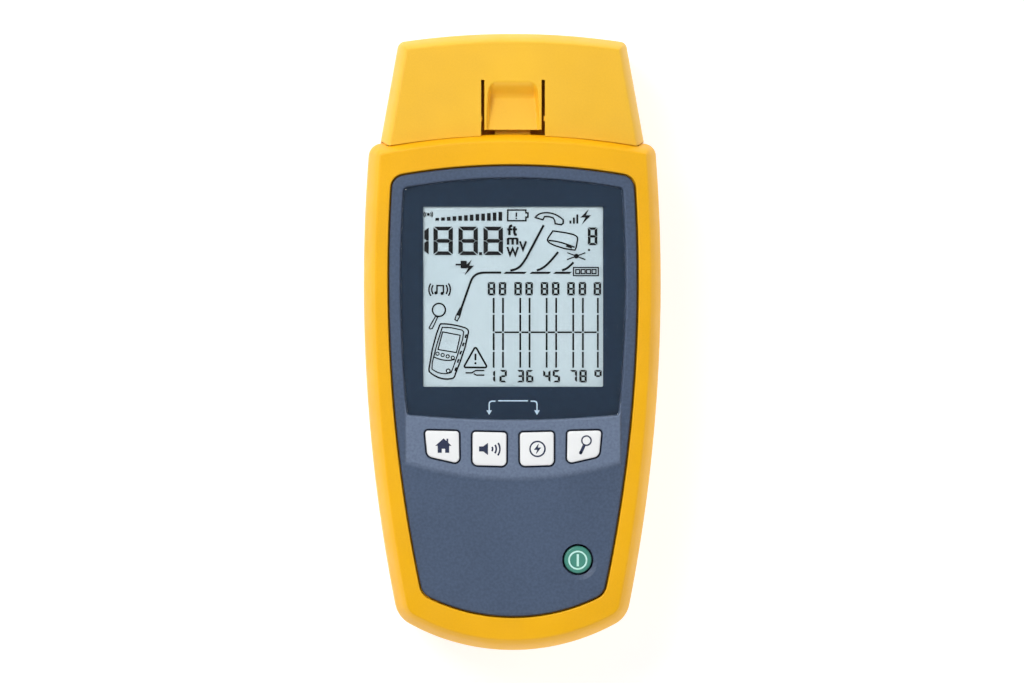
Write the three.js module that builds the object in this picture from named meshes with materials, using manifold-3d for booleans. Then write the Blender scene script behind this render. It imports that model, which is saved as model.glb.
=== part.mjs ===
// A handheld network cable tester lying on its back, with its wiremap adapter docked at the top end.
// Millimetres. X is to the right, Y runs from the rounded end to the adapter, and Z rises from the
// back (z = 0) to the display. The origin is on the back, under the middle of the whole length.

import * as THREE from "three";
import { mergeVertices } from "three/addons/utils/BufferGeometryUtils.js";
import Module from "manifold-3d";

const wasm = await Module();
wasm.setup();

// ---------- driving dimensions ----------

const GAP = 0.3; // clearance between touching pieces
const PARTING = 17.5; // height of the joint between front and rear shells
const FRONT = 35; // front face of the yellow frame
const PARTING_LOW = PARTING - GAP / 2;
const PARTING_HIGH = PARTING + GAP / 2;

// Each outline is a top arc, two side arcs and a bottom arc, joined by corner fillets.
const CASE = {
  top: 55.4, topRadius: 183, topFillet: 3.4,
  halfWidth: 38.98, widestY: 15.5, sideRadius: 436,
  bottom: -80.9, bottomRadius: 56.2, bottomFillet: 7.3,
};
const PANEL = {
  top: 45.74, topRadius: 171, topFillet: 3.4,
  halfWidth: 32.4, widestY: 16.5, sideRadius: 392,
  bottom: -71.75, bottomRadius: 50, bottomFillet: 4.2,
};
const LENS = {
  top: 43.1, topRadius: 155, topFillet: 0.9,
  halfWidth: 29.3, widestY: 16, sideRadius: 350,
  bottom: -20.3, bottomRadius: 294, bottomFillet: 0.9,
};
// The adapter's sides are straight and lean inwards; its shoulder follows the case's top arc.
const ADAPTER = {
  top: 80.9, topRadius: 196, topFillet: 2.1,
  cornerX: 34.5, cornerY: 52.8, lean: 0.18,
  back: 2.6, front: 32.4,
};
const DOCK = { halfWidth: 33, from: 48, low: 3.6, high: 31.5 };
const PLUG = { halfWidth: 32.6, end: 48.3, low: 3.9, high: 31.2, wall: 2, corner: 4 };

const PANEL_Z = { low: 30.5, ledge: 32.5, top: 34.4, band: 34.9 };
const LENS_Z = { seat: 32.6, low: 32.9, high: 33.7 };
const LCD = { halfWidth: 25.5, bottom: -16, top: 37, low: 30.4, high: 32.4 };
const LCD_FRAME = { halfWidth: 27, bottom: -16.4, top: 37.6, low: 21.3, high: 30.1 };
const BOARD = { low: 19.4, high: 21, inset: 1 };
const BAND = { bottom: -35.9, radius: 95.4, halfWidth: 32, top: -17, low: 33 }; // raised, for the keys

const KEY = { clearance: 0.6, top: 35.3, low: 29.2, flange: 0.8, flangeTop: 30.2, stem: 2, stemLow: 22.6 };
const INNER_KEY = [[1.8, -32.45], [10.6, -32.2], [10.6, -23.5], [1.75, -23.7]];
const OUTER_KEY = [[14.05, -31.8], [22.4, -29.9], [23.05, -23.15], [14.2, -23.35]];
const POWER = { x: 16.9, y: -56.9, radius: 3.6, hole: 4.1, dish: 5.4, dishDepth: 0.8, top: 34 };
const DOME = { radius: 3, low: 21.3, high: 21.8 };
const KEYPAD_FRAME = {
  low: 26.4, high: 28.4, leg: 1.4, legs: [[-22, -33.5], [22, -22.5], [-22, -22.5], [13, -61.5]],
};

const CASE_SCREWS = [[-29.3, 41.6], [29.3, 41.6], [-25.6, -56.5], [25.6, -56.5]];
const CASE_SCREW = { head: 2.8, headHeight: 2.1, shaft: 1.3, length: 21, seat: 8, boss: 4.3, post: 3.4 };
const BOARD_SCREWS = [[-22, 40.2], [22, 40.2], [-21, -48], [0, -66.2]];
const BOARD_SCREW = { head: 2, headHeight: 1.6, shaft: 0.9, length: 9.6, post: 2.2 };
const ADAPTER_SCREWS = [[-24.5, 66], [24.5, 66]];
const ADAPTER_SCREW = { head: 2.6, headHeight: 2, shaft: 1.3, length: 19, seat: 9, boss: 3.9, post: 3.4 };
const SLACK = 0.5; // room beyond a screw's tip

const BAY = { halfWidth: 15.6, bottom: -60, top: -4, roof: 17.4, wall: 1.5, roofWall: 1.2 };
const DOOR = { halfWidth: 17.2, bottom: -68.7, top: -1.8, thickness: 2.2, corner: 6 };
const DOOR_SCREW = { y: -65, head: 2.9, headHeight: 1.2, shaft: 1.3, length: 6.6, hole: 2.1 };
const LEDGE = { halfWidth: 19.5, bottom: -70.5, top: 0.5, low: 2.5, high: 4 };
const TAB = { from: 9, to: 12, reach: 2.3, low: 2.8, high: 4 };
const CELL = { x: 7.6, z: 9.9, radius: 7.1, length: 50.5, nub: 2.75, nubHeight: 1.2 };
const CELL_TIP = { left: -5, right: -58.9 }; // where each cell's positive nub ends
const SPRING = { height: 3.1, turns: 2.5, wide: 4.6, narrow: 3, wire: 0.4 };

const JACK = { halfWidth: 8, depth: 18, height: 13.5 };
const TESTER_JACK = { y: 47.8, z: 5.4 };
const ADAPTER_JACK = { y: 48.3, z: 7.6 };
const TONGUE = { halfWidth: 7.6, slot: 8.25, end: 55.4, root: 68.5, bridge: 51.5 };
const WELL = { floor: 23.3, slotLow: 24.5, top: 31, wall: 1.2, rootWall: 0.6 }; // closes the slot's underside
const HOOK = { halfWidth: 4.7, tip: 53, back: 56.6, low: 28.2, high: 30.1 };

// ---------- materials ----------

const plastic = (color, roughness) => new THREE.MeshStandardMaterial({ color, roughness, metalness: 0 });
const metal = (color, roughness) => new THREE.MeshStandardMaterial({ color, roughness, metalness: 1 });
const YELLOW = plastic(0xfbbc1e, 0.5);
const ADAPTER_YELLOW = plastic(0xfcc83e, 0.5);
const PANEL_GREY = plastic(0x5c6877, 0.6);
const NAVY = plastic(0x2d4051, 0.15);
const LCD_GREY = plastic(0xd2e1e6, 0.2);
const WHITE = plastic(0xf4f6f8, 0.4);
const GREEN = plastic(0x50967f, 0.35);
const BLACK = plastic(0x1c1d20, 0.55);
const BOARD_GREEN = plastic(0x1d5a3a, 0.45);
const WRAP = plastic(0x3a3f46, 0.35);
const STEEL = metal(0xb9bcc0, 0.3);
const GOLD = metal(0xd8b25a, 0.25);

// ---------- solids ----------

// A geometry's closed surface as a solid that can be joined and cut.
function solidOf(geometry) {
  const bare = geometry.clone();
  bare.deleteAttribute("normal");
  bare.deleteAttribute("uv");
  const merged = mergeVertices(bare, 1e-4);
  const vertProperties = merged.getAttribute("position").array;
  const triVerts = new Uint32Array(merged.index.array);
  return new wasm.Manifold(new wasm.Mesh({ numProp: 3, vertProperties, triVerts }));
}

function geometryOf(solid) {
  const mesh = solid.getMesh();
  const geometry = new THREE.BufferGeometry();
  geometry.setAttribute("position", new THREE.BufferAttribute(mesh.vertProperties, 3));
  geometry.setIndex(new THREE.BufferAttribute(mesh.triVerts, 1));
  return geometry;
}

const join = (...solids) => solids.reduce((sum, solid) => sum.add(solid));
const cut = (body, ...tools) => tools.reduce((rest, tool) => rest.subtract(tool), body);

function block(x0, x1, y0, y1, z0, z1) {
  const geometry = new THREE.BoxGeometry(x1 - x0, y1 - y0, z1 - z0);
  geometry.translate((x0 + x1) / 2, (y0 + y1) / 2, (z0 + z1) / 2);
  return solidOf(geometry);
}

// A rod, or a cone where the two radii differ, standing along Z.
function rod(x, y, z0, z1, radius, topRadius = radius, sides = 14) {
  const geometry = new THREE.CylinderGeometry(topRadius, radius, z1 - z0, sides);
  geometry.rotateX(Math.PI / 2);
  geometry.translate(x, y, (z0 + z1) / 2);
  return solidOf(geometry);
}

const shapeOf = (points) => new THREE.Shape(points.map(([x, y]) => new THREE.Vector2(x, y)));

// A flat outline in X and Y, extruded from z0 to z1.
function slab(points, z0, z1) {
  const geometry = new THREE.ExtrudeGeometry(shapeOf(points), { depth: z1 - z0, bevelEnabled: false });
  geometry.translate(0, 0, z0);
  return solidOf(geometry);
}

// An outline in Y and Z, extruded across from x0 to x1.
function profileAcross(points, x0, x1) {
  const geometry = new THREE.ExtrudeGeometry(shapeOf(points), { depth: x1 - x0, bevelEnabled: false });
  geometry.rotateX(Math.PI / 2);
  geometry.rotateZ(Math.PI / 2);
  geometry.translate(x0, 0, 0);
  return solidOf(geometry);
}

// An outline in X and Z, extruded along Y from y0 to y1.
function profileAlong(points, y0, y1) {
  const geometry = new THREE.ExtrudeGeometry(shapeOf(points), { depth: y1 - y0, bevelEnabled: false });
  geometry.rotateX(Math.PI / 2);
  geometry.translate(0, y1, 0);
  return solidOf(geometry);
}

// ---------- outlines ----------

const mirrored = (points) => points.map(([x, y]) => [-x, y]).reverse();

function arc(centre, radius, from, to, steps) {
  return Array.from({ length: steps }, (_, i) => {
    const angle = from + ((to - from) * i) / steps;
    return [centre.x + radius * Math.cos(angle), centre.y + radius * Math.sin(angle)];
  });
}

// Where two circles cross, on their upper or their lower side.
function crossing(a, radiusA, b, radiusB, upper) {
  const apart = a.distanceTo(b);
  const along = (radiusA ** 2 - radiusB ** 2 + apart ** 2) / (2 * apart);
  const across = Math.sqrt(radiusA ** 2 - along ** 2);
  const toward = b.clone().sub(a).divideScalar(apart);
  const foot = a.clone().addScaledVector(toward, along);
  const sideways = new THREE.Vector2(-toward.y, toward.x).multiplyScalar(across);
  const [one, other] = [foot.clone().add(sideways), foot.clone().sub(sideways)];
  return one.y > other.y === upper ? one : other;
}

const angleFrom = (centre, point) => Math.atan2(point.y - centre.y, point.x - centre.x);

const LEAST_FILLET = 0.4;

// A case, panel or lens outline, moved inwards by inset, anticlockwise from the bottom middle.
function outline(spec, inset = 0) {
  const top = { centre: new THREE.Vector2(0, spec.top - spec.topRadius), radius: spec.topRadius - inset };
  const side = {
    centre: new THREE.Vector2(spec.halfWidth - spec.sideRadius, spec.widestY),
    radius: spec.sideRadius - inset,
  };
  const bottom = {
    centre: new THREE.Vector2(0, spec.bottom + spec.bottomRadius),
    radius: spec.bottomRadius - inset,
  };
  const low = Math.max(spec.bottomFillet - inset, LEAST_FILLET);
  const high = Math.max(spec.topFillet - inset, LEAST_FILLET);
  const lowCentre = crossing(bottom.centre, bottom.radius - low, side.centre, side.radius - low, false);
  const highCentre = crossing(top.centre, top.radius - high, side.centre, side.radius - high, true);
  const angles = [
    -Math.PI / 2,
    angleFrom(bottom.centre, lowCentre),
    angleFrom(side.centre, lowCentre),
    angleFrom(side.centre, highCentre),
    angleFrom(top.centre, highCentre),
    Math.PI / 2,
  ];
  const half = [
    ...arc(bottom.centre, bottom.radius, angles[0], angles[1], 5),
    ...arc(lowCentre, low, angles[1], angles[2], 4),
    ...arc(side.centre, side.radius, angles[2], angles[3], 6),
    ...arc(highCentre, high, angles[3], angles[4], 3),
    ...arc(top.centre, top.radius, angles[4], angles[5], 4),
  ];
  return [...half, [0, spec.top - inset], ...mirrored(half.slice(1))];
}

// Where a line from a point meets a circle, further along the line.
function reach(point, direction, centre, radius) {
  const offset = point.clone().sub(centre);
  const b = direction.dot(offset);
  const t = -b + Math.sqrt(b * b - offset.lengthSq() + radius * radius);
  return point.clone().addScaledVector(direction, t);
}

// The adapter's outline, moved inwards by inset at its sides and top and by shoulder at its foot.
function adapterOutline(inset, shoulder = 0) {
  const up = new THREE.Vector2(-ADAPTER.lean, 1).normalize();
  const inward = new THREE.Vector2(-up.y, up.x);
  const corner = new THREE.Vector2(ADAPTER.cornerX, ADAPTER.cornerY);
  const sideAt = (depth) => corner.clone().addScaledVector(inward, depth);
  const topCentre = new THREE.Vector2(0, ADAPTER.top - ADAPTER.topRadius);
  const footCentre = new THREE.Vector2(0, CASE.top - CASE.topRadius);
  const footRadius = CASE.topRadius + GAP + shoulder;
  const fillet = Math.max(ADAPTER.topFillet - inset, LEAST_FILLET);
  const topRadius = ADAPTER.topRadius - inset;
  const filletCentre = reach(sideAt(inset + fillet), up, topCentre, topRadius - fillet);
  const foot = reach(sideAt(inset), up, footCentre, footRadius);
  const sideAngle = angleFrom(new THREE.Vector2(0, 0), inward.clone().negate());
  const topAngle = angleFrom(topCentre, filletCentre);
  const half = [
    ...arc(footCentre, footRadius, Math.PI / 2, angleFrom(footCentre, foot), 5),
    [foot.x, foot.y],
    ...arc(filletCentre, fillet, sideAngle, topAngle, 3),
    ...arc(topCentre, topRadius, topAngle, Math.PI / 2, 4),
  ];
  return [...half, [0, ADAPTER.top - inset], ...mirrored(half.slice(1))];
}

// A convex polygon, anticlockwise, with each corner rounded by its own radius.
function rounded(corners, radii, steps = 3) {
  const count = corners.length;
  const at = (i) => new THREE.Vector2(...corners[(i + count) % count]);
  return corners.flatMap((_, i) => {
    const before = at(i - 1).sub(at(i)).normalize();
    const after = at(i + 1).sub(at(i)).normalize();
    const radius = Array.isArray(radii) ? radii[i] : radii;
    const half = Math.acos(before.dot(after)) / 2;
    const middle = before.clone().add(after).normalize();
    const centre = at(i).addScaledVector(middle, radius / Math.sin(half));
    const start = angleFrom(centre, at(i).addScaledVector(before, radius / Math.tan(half)));
    const turn = Math.PI - 2 * half;
    return arc(centre, radius, start, start + turn + turn / steps, steps + 1);
  });
}

const rectangle = (x0, x1, y0, y1) => [[x0, y0], [x1, y0], [x1, y1], [x0, y1]];

// A convex polygon with every edge moved outwards.
function grown(corners, distance) {
  const count = corners.length;
  const at = (i) => new THREE.Vector2(...corners[(i + count) % count]);
  return corners.map((_, i) => {
    const before = at(i - 1).sub(at(i)).normalize();
    const after = at(i + 1).sub(at(i)).normalize();
    const half = Math.acos(before.dot(after)) / 2;
    const middle = before.add(after).normalize();
    const moved = at(i).addScaledVector(middle, -distance / Math.sin(half));
    return [moved.x, moved.y];
  });
}

// Skins a list of [outline, z] rings of equal length. An open stack is capped at both ends, and a
// looped one, whose last ring meets its first, is a frame.
function loft(rings, looped = false) {
  const count = rings[0][0].length;
  const positions = rings.flatMap(([points, z]) => points.flatMap(([x, y]) => [x, y, z]));
  const index = [];
  const last = looped ? rings.length : rings.length - 1;
  for (let r = 0; r < last; r++) {
    const low = r * count;
    const high = ((r + 1) % rings.length) * count;
    for (let i = 0; i < count; i++) {
      const next = (i + 1) % count;
      index.push(low + i, low + next, high + next, low + i, high + next, high + i);
    }
  }
  if (!looped) {
    const cap = (points) =>
      THREE.ShapeUtils.triangulateShape(points.map(([x, y]) => new THREE.Vector2(x, y)), []);
    const end = last * count;
    cap(rings[0][0]).forEach(([a, b, c]) => index.push(a, c, b));
    cap(rings[last][0]).forEach(([a, b, c]) => index.push(end + a, end + b, end + c));
  }
  const geometry = new THREE.BufferGeometry();
  geometry.setAttribute("position", new THREE.Float32BufferAttribute(positions, 3));
  geometry.setIndex(index);
  return solidOf(geometry);
}

const ringsOf = (spec, levels) => levels.map(([inset, z]) => [outline(spec, inset), z]);
const adapterRings = (levels, shoulder) =>
  levels.map(([inset, z]) => [adapterOutline(inset, shoulder), z]);

// ---------- small repeated pieces ----------

// A slotted screw, head down, its head's top seat at z = 0 and its shaft going up.
function screw({ head, headHeight, shaft, length }) {
  const profile = [[0, -headHeight], [head * 0.8, -headHeight], [head, -headHeight * 0.6], [head, 0]];
  const tip = [[shaft, 0], [shaft, length - shaft], [0, length]];
  const points = [...profile, ...tip].map(([x, y]) => new THREE.Vector2(x, y));
  const lathe = new THREE.LatheGeometry(points, 8);
  lathe.rotateX(Math.PI / 2);
  const arm = head * 0.62;
  const bar = head * 0.13;
  return geometryOf(cut(solidOf(lathe), block(-arm, arm, -bar, bar, -headHeight - 1, -headHeight * 0.4)));
}

// An eight-way modular jack. Its face is in the plane y = 0, and its body lies behind it at y < 0.
function jackBody() {
  const back = -13;
  const outside = block(-JACK.halfWidth, JACK.halfWidth, -JACK.depth, 0, 0, JACK.height);
  const socket = block(-5.9, 5.9, back, 1, 3.2, 11.2);
  const latchRoom = block(-3.1, 3.1, back, 1, 1.8, 4);
  const latchSlot = block(-1.6, 1.6, back, 1, 0.9, 4);
  return geometryOf(cut(outside, socket, latchRoom, latchSlot));
}

// Its eight sprung contacts, on the bar that holds them under the socket's roof.
function jackContacts() {
  const pitch = 1.02;
  const wire = 0.22;
  const bar = block(-5.2, 5.2, -3, -1.4, 10.3, 10.9);
  const slope = [[-2.4, 10.4], [-2.4, 10.8], [-10.2, 8.7], [-10.2, 8.3]];
  const wires = Array.from({ length: 8 }, (_, i) => {
    const x = (i - 3.5) * pitch;
    return profileAcross(slope, x - wire, x + wire);
  });
  return geometryOf(join(bar, ...wires));
}

// A conical battery spring along Y, from its wide end at y = 0.
class SpringCurve extends THREE.Curve {
  getPoint(t, target = new THREE.Vector3()) {
    const angle = t * SPRING.turns * 2 * Math.PI;
    const radius = SPRING.wide + (SPRING.narrow - SPRING.wide) * t;
    const height = SPRING.wire + (SPRING.height - 2 * SPRING.wire) * t;
    return target.set(radius * Math.cos(angle), height, radius * Math.sin(angle));
  }
}

function spring() {
  const ring = arc(new THREE.Vector2(0, 0), SPRING.wire, 0, 2 * Math.PI, 5);
  return new THREE.ExtrudeGeometry(shapeOf(ring), { steps: 22, extrudePath: new SpringCurve() });
}

// A round cell along Y, its positive nub ending at y = 0.
function cell() {
  const { radius, length, nub, nubHeight } = CELL;
  const bevel = 0.5;
  const profile = [
    [0, -length], [radius - bevel, -length], [radius, -length + bevel], [radius, -nubHeight - bevel],
    [radius - bevel, -nubHeight], [nub, -nubHeight], [nub, 0], [0, 0],
  ];
  return new THREE.LatheGeometry(profile.map(([x, y]) => new THREE.Vector2(x, y)), 16);
}

// ---------- the case ----------

const REAR_OUTER = [[6, 0], [4.2, 0.35], [2.6, 1.2], [1.5, 2.6], [0.9, 4.5], [0.25, 12], [0, PARTING_LOW]];
const REAR_INNER = [[2.5, PARTING_LOW], [3.2, 7], [4.2, 4], [7, 2.5]];
const GRIP = { count: 5, pitch: 12, firstY: -36, out: 2.3, z: 9.5, sizes: [4, 6, 6.2] };

// Shallow finger scallops along both long sides of the rear shell.
function gripScallops() {
  return Array.from({ length: GRIP.count }, (_, i) => {
    const y = GRIP.firstY + i * GRIP.pitch;
    const across = Math.sqrt(CASE.sideRadius ** 2 - (y - CASE.widestY) ** 2);
    const sideX = CASE.halfWidth - CASE.sideRadius + across;
    return [-1, 1].map((side) => {
      const ball = new THREE.SphereGeometry(1, 12, 6);
      ball.scale(...GRIP.sizes);
      ball.translate(side * (sideX + GRIP.out), y, GRIP.z);
      return solidOf(ball);
    });
  }).flat();
}

function rearCase() {
  const outside = loft(ringsOf(CASE, REAR_OUTER));
  const shell = loft(ringsOf(CASE, [...REAR_OUTER, ...REAR_INNER]));
  const bayWalls = block(
    -BAY.halfWidth - BAY.wall, BAY.halfWidth + BAY.wall,
    BAY.bottom - BAY.wall, BAY.top + BAY.wall, 1, BAY.roof + BAY.roofWall,
  );
  const ledge = block(-LEDGE.halfWidth, LEDGE.halfWidth, LEDGE.bottom, LEDGE.top, 1, LEDGE.high);
  const doorBoss = rod(0, DOOR_SCREW.y, LEDGE.low, 10, 4);
  const bosses = CASE_SCREWS.map(([x, y]) => rod(x, y, 1, PARTING_LOW, CASE_SCREW.boss));
  const solid = join(shell, bayWalls, ledge, doorBoss, ...bosses.map((boss) => boss.intersect(outside)));

  const bay = block(-BAY.halfWidth, BAY.halfWidth, BAY.bottom, BAY.top, 0.5, BAY.roof);
  const opening = slab(
    rounded(rectangle(
      -DOOR.halfWidth - GAP, DOOR.halfWidth + GAP, DOOR.bottom - GAP, DOOR.top + GAP,
    ), [DOOR.corner, DOOR.corner, 1, 1]),
    -1, LEDGE.low,
  );
  const screwHole = rod(0, DOOR_SCREW.y, 0, 9, 2);
  const tabSlots = [-1, 1].map((side) => {
    const [near, far] = [side * (TAB.from - GAP), side * (TAB.to + GAP)].sort((a, b) => a - b);
    return block(near, far, BAY.top - 1, DOOR.top + TAB.reach + 0.5, LEDGE.low, 5.2);
  });
  const screwWays = CASE_SCREWS.flatMap(([x, y]) => [
    rod(x, y, -1, CASE_SCREW.seat, CASE_SCREW.head + GAP),
    rod(x, y, CASE_SCREW.seat - 1, PARTING + 1, CASE_SCREW.shaft + GAP),
  ]);
  const dock = block(-DOCK.halfWidth, DOCK.halfWidth, DOCK.from, CASE.top + 9, DOCK.low, PARTING + 1);
  return cut(solid, bay, opening, screwHole, dock, ...tabSlots, ...screwWays, ...gripScallops());
}

// The yellow frame: outer wall, front band, the ledge that carries the panel, and inner wall.
function frontShell() {
  const wallUp = [
    [0, PARTING_HIGH], [0.25, 27.8], [1, 30.9], [2.1, 33.6], [3, 34.8], [3.6, FRONT],
  ];
  const panelEdge = [[-0.8, FRONT], [-0.6, 34.85], [-0.5, 34.5], [-0.5, 32.2], [1.6, 32.2], [1.6, 31]];
  const channel = [[-2, 31], [-2, 32.8]];
  const wallDown = [[3.4, 32.8], [3.2, 31.5], [3, 28], [2.5, 22], [2.4, PARTING_HIGH]];
  const frame = loft([
    ...ringsOf(CASE, wallUp),
    ...ringsOf(PANEL, [...panelEdge, ...channel]),
    ...ringsOf(CASE, wallDown),
  ], true);
  const postTop = 30.2;
  const webEnd = { upper: 36, lower: 31 };
  const posts = CASE_SCREWS.flatMap(([x, y]) => {
    const side = Math.sign(x);
    const wallX = y > 0 ? webEnd.upper : webEnd.lower;
    const [near, far] = [x, side * wallX].sort((a, b) => a - b);
    return [
      rod(x, y, PARTING_HIGH, postTop, CASE_SCREW.post),
      block(near, far, y - 0.8, y + 0.8, PARTING_HIGH, postTop),
    ];
  });
  const holes = CASE_SCREWS.map(([x, y]) => {
    const top = CASE_SCREW.seat + CASE_SCREW.length + SLACK;
    return rod(x, y, PARTING, top, CASE_SCREW.shaft + GAP);
  });
  const dock = block(-DOCK.halfWidth, DOCK.halfWidth, DOCK.from, CASE.top + 9, PARTING - 1, DOCK.high);
  return cut(join(frame, ...posts), dock, ...holes);
}

// ---------- the front panel, display and keys ----------

const KEYS = [
  { name: "key_home", corners: mirrored(OUTER_KEY), x: -18.5, y: -27.2 },
  { name: "key_tone", corners: mirrored(INNER_KEY), x: -6.2, y: -28 },
  { name: "key_supply", corners: INNER_KEY, x: 6.2, y: -28 },
  { name: "key_search", corners: OUTER_KEY, x: 18.5, y: -27.2 },
];
const KEY_CORNER = 1;

// The raised band behind the keys, between the lens and a shallow arc.
function keyBand() {
  const centre = new THREE.Vector2(0, BAND.bottom + BAND.radius);
  const half = Math.asin(BAND.halfWidth / BAND.radius);
  const lower = arc(centre, BAND.radius, -Math.PI / 2 - half, -Math.PI / 2 + half, 12);
  const end = centre.y - BAND.radius * Math.cos(half);
  const upper = [[BAND.halfWidth, end], [BAND.halfWidth, BAND.top], [-BAND.halfWidth, BAND.top]];
  const sheet = slab([...lower, ...upper], BAND.low, PANEL_Z.band);
  return sheet.intersect(slab(outline(PANEL, 0.6), BAND.low - 1, FRONT));
}

function frontPanel() {
  const core = ringsOf(PANEL, [
    [2, PANEL_Z.low], [2, PANEL_Z.ledge], [0, PANEL_Z.ledge], [0, PANEL_Z.top - 0.4], [0.4, PANEL_Z.top],
  ]);
  const screwPosts = BOARD_SCREWS.map(([x, y]) =>
    rod(x, y, BOARD.high + GAP, PANEL_Z.low + 0.4, BOARD_SCREW.post, BOARD_SCREW.post, 12));
  const postHoles = BOARD_SCREWS.map(([x, y]) =>
    rod(x, y, BOARD.high, BOARD.low + BOARD_SCREW.length, BOARD_SCREW.shaft + GAP, undefined, 10));
  const lensSeat = loft(ringsOf(LENS, [[-0.25, LENS_Z.seat], [-0.25, FRONT + 1]]));
  const window = block(
    -LCD.halfWidth - 0.5, LCD.halfWidth + 0.5, LCD.bottom - GAP, LCD.top + 0.5, PANEL_Z.low - 1, LENS_Z.low,
  );
  const keyHoles = KEYS.map(({ corners }) =>
    slab(rounded(grown(corners, KEY.clearance), KEY_CORNER + KEY.clearance), PANEL_Z.low - 1, FRONT + 1));
  const powerHole = rod(POWER.x, POWER.y, PANEL_Z.low - 1, FRONT, POWER.hole);
  const powerDish = rod(
    POWER.x, POWER.y, PANEL_Z.top - POWER.dishDepth, PANEL_Z.top + 0.01, POWER.hole, POWER.dish, 20,
  );
  return cut(
    join(loft(core), keyBand(), ...screwPosts),
    lensSeat, window, powerHole, powerDish, ...keyHoles, ...postHoles,
  );
}

const displayLens = () =>
  loft(ringsOf(LENS, [[0, LENS_Z.low], [0, LENS_Z.high - 0.15], [0.15, LENS_Z.high]]));

// The frame that carries the backlight and glass, with a slot for the connector strip.
const STRIP = { halfWidth: 20, bottom: -15.2, top: -13.4 };
const BACKLIGHT = { halfWidth: 23.5, bottom: -11.9, top: 35.6, low: 26, high: 29.8 };

function lcdFrame() {
  const { halfWidth, bottom, top, low, high } = LCD_FRAME;
  const body = block(-halfWidth, halfWidth, bottom, top, low, high);
  const wide = BACKLIGHT.halfWidth + GAP;
  const pocket = block(
    -wide, wide, BACKLIGHT.bottom - GAP, BACKLIGHT.top + GAP, BACKLIGHT.low - GAP, high + 1,
  );
  const lightening = block(-21, 21, -9.5, 33, low - 1, BACKLIGHT.low);
  const stripWide = STRIP.halfWidth + GAP;
  const slot = block(-stripWide, stripWide, STRIP.bottom - GAP, STRIP.top + GAP, low - 1, high + 1);
  return cut(body, pocket, lightening, slot);
}

function mainBoard() {
  const sheet = slab(outline(PANEL, BOARD.inset), BOARD.low, BOARD.high);
  const notches = CASE_SCREWS.map(([x, y]) => {
    const side = Math.sign(x);
    const [near, far] = [x, side * 40].sort((a, b) => a - b);
    return join(
      rod(x, y, BOARD.low - 1, BOARD.high + 1, CASE_SCREW.post + 0.5),
      block(near, far, y - 1.3, y + 1.3, BOARD.low - 1, BOARD.high + 1),
    );
  });
  const holes = BOARD_SCREWS.map(([x, y]) =>
    rod(x, y, BOARD.low - 1, BOARD.high + 1, BOARD_SCREW.shaft + GAP, undefined, 12));
  return cut(sheet, ...notches, ...holes);
}

// The frame that guides the key stems, standing on the board.
function keypadFrame() {
  const { low, high, leg } = KEYPAD_FRAME;
  const sheet = join(
    block(-24, 24, -35, -21, low, high),
    block(11, 21.8, -63, -34, low, high),
  );
  const legs = KEYPAD_FRAME.legs.map(([x, y]) => rod(x, y, BOARD.high + GAP, low + 1, leg, leg, 12));
  const guides = [...KEYS, POWER].map(({ x, y }) => rod(x, y, low - 1, high + 1, KEY.stem + GAP));
  return cut(join(sheet, ...legs), ...guides);
}

function keyCap({ corners, x, y }) {
  const round = 0.4;
  const cap = loft([
    [rounded(corners, KEY_CORNER), KEY.low],
    [rounded(corners, KEY_CORNER), KEY.top - round],
    [rounded(grown(corners, -round), KEY_CORNER - round / 2), KEY.top],
  ]);
  const rim = rounded(grown(corners, KEY.flange + KEY.clearance), KEY_CORNER);
  const flange = slab(rim, KEY.low, KEY.flangeTop);
  return join(cap, flange, rod(x, y, KEY.stemLow, KEY.low + 1, KEY.stem));
}

function powerButton() {
  const bevel = 0.5;
  return join(
    rod(POWER.x, POWER.y, KEY.low, POWER.top - bevel, POWER.radius, POWER.radius, 20),
    rod(POWER.x, POWER.y, POWER.top - bevel - 0.1, POWER.top, POWER.radius, POWER.radius - bevel, 20),
    rod(POWER.x, POWER.y, KEY.low, KEY.flangeTop, POWER.hole + 0.8, POWER.hole + 0.8, 20),
    rod(POWER.x, POWER.y, KEY.stemLow, KEY.low + 1, KEY.stem),
  );
}

function snapDome() {
  const profile = [
    [0, DOME.low], [DOME.radius, DOME.low], [DOME.radius * 0.7, DOME.high - 0.1], [0, DOME.high],
  ];
  const geometry = new THREE.LatheGeometry(profile.map(([x, y]) => new THREE.Vector2(x, y)), 10);
  return geometry.rotateX(Math.PI / 2);
}

// ---------- the connector end and the boards' components ----------

// A plate across the bottom of the dock, with a hole round the jack.
function connectorPlate() {
  const right = [[28.5, 3.6], [32, 5.2], [33.2, 8], [33.6, 14], [33.6, 30.7]];
  const plate = profileAlong([...right, ...mirrored(right)], TESTER_JACK.y - 1.5, TESTER_JACK.y);
  const wide = JACK.halfWidth + GAP;
  return cut(plate, block(
    -wide, wide, TESTER_JACK.y - 3, TESTER_JACK.y + 1,
    TESTER_JACK.z - GAP, TESTER_JACK.z + JACK.height + GAP,
  ));
}

function adapterConnectorPlate() {
  const wide = PLUG.halfWidth - PLUG.wall - GAP;
  const [low, high] = [PLUG.low + PLUG.wall + GAP, PLUG.high - PLUG.wall - GAP];
  const plate = profileAlong(rounded(rectangle(-wide, wide, low, high), 2), PLUG.end, PLUG.end + 1.5);
  const hole = JACK.halfWidth + GAP;
  return cut(plate, block(
    -hole, hole, PLUG.end - 1, PLUG.end + 3,
    ADAPTER_JACK.z - GAP, ADAPTER_JACK.z + JACK.height + GAP,
  ));
}

const BUZZER = { x: 20, y: 14, radius: 6, low: 12.5 };

function buzzer() {
  const top = BOARD.low - GAP;
  const can = rod(BUZZER.x, BUZZER.y, BUZZER.low, top, BUZZER.radius, BUZZER.radius, 16);
  return cut(can, rod(BUZZER.x, BUZZER.y, BUZZER.low - 1, BUZZER.low + 2, 1.2));
}

// ---------- the battery door ----------

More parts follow.
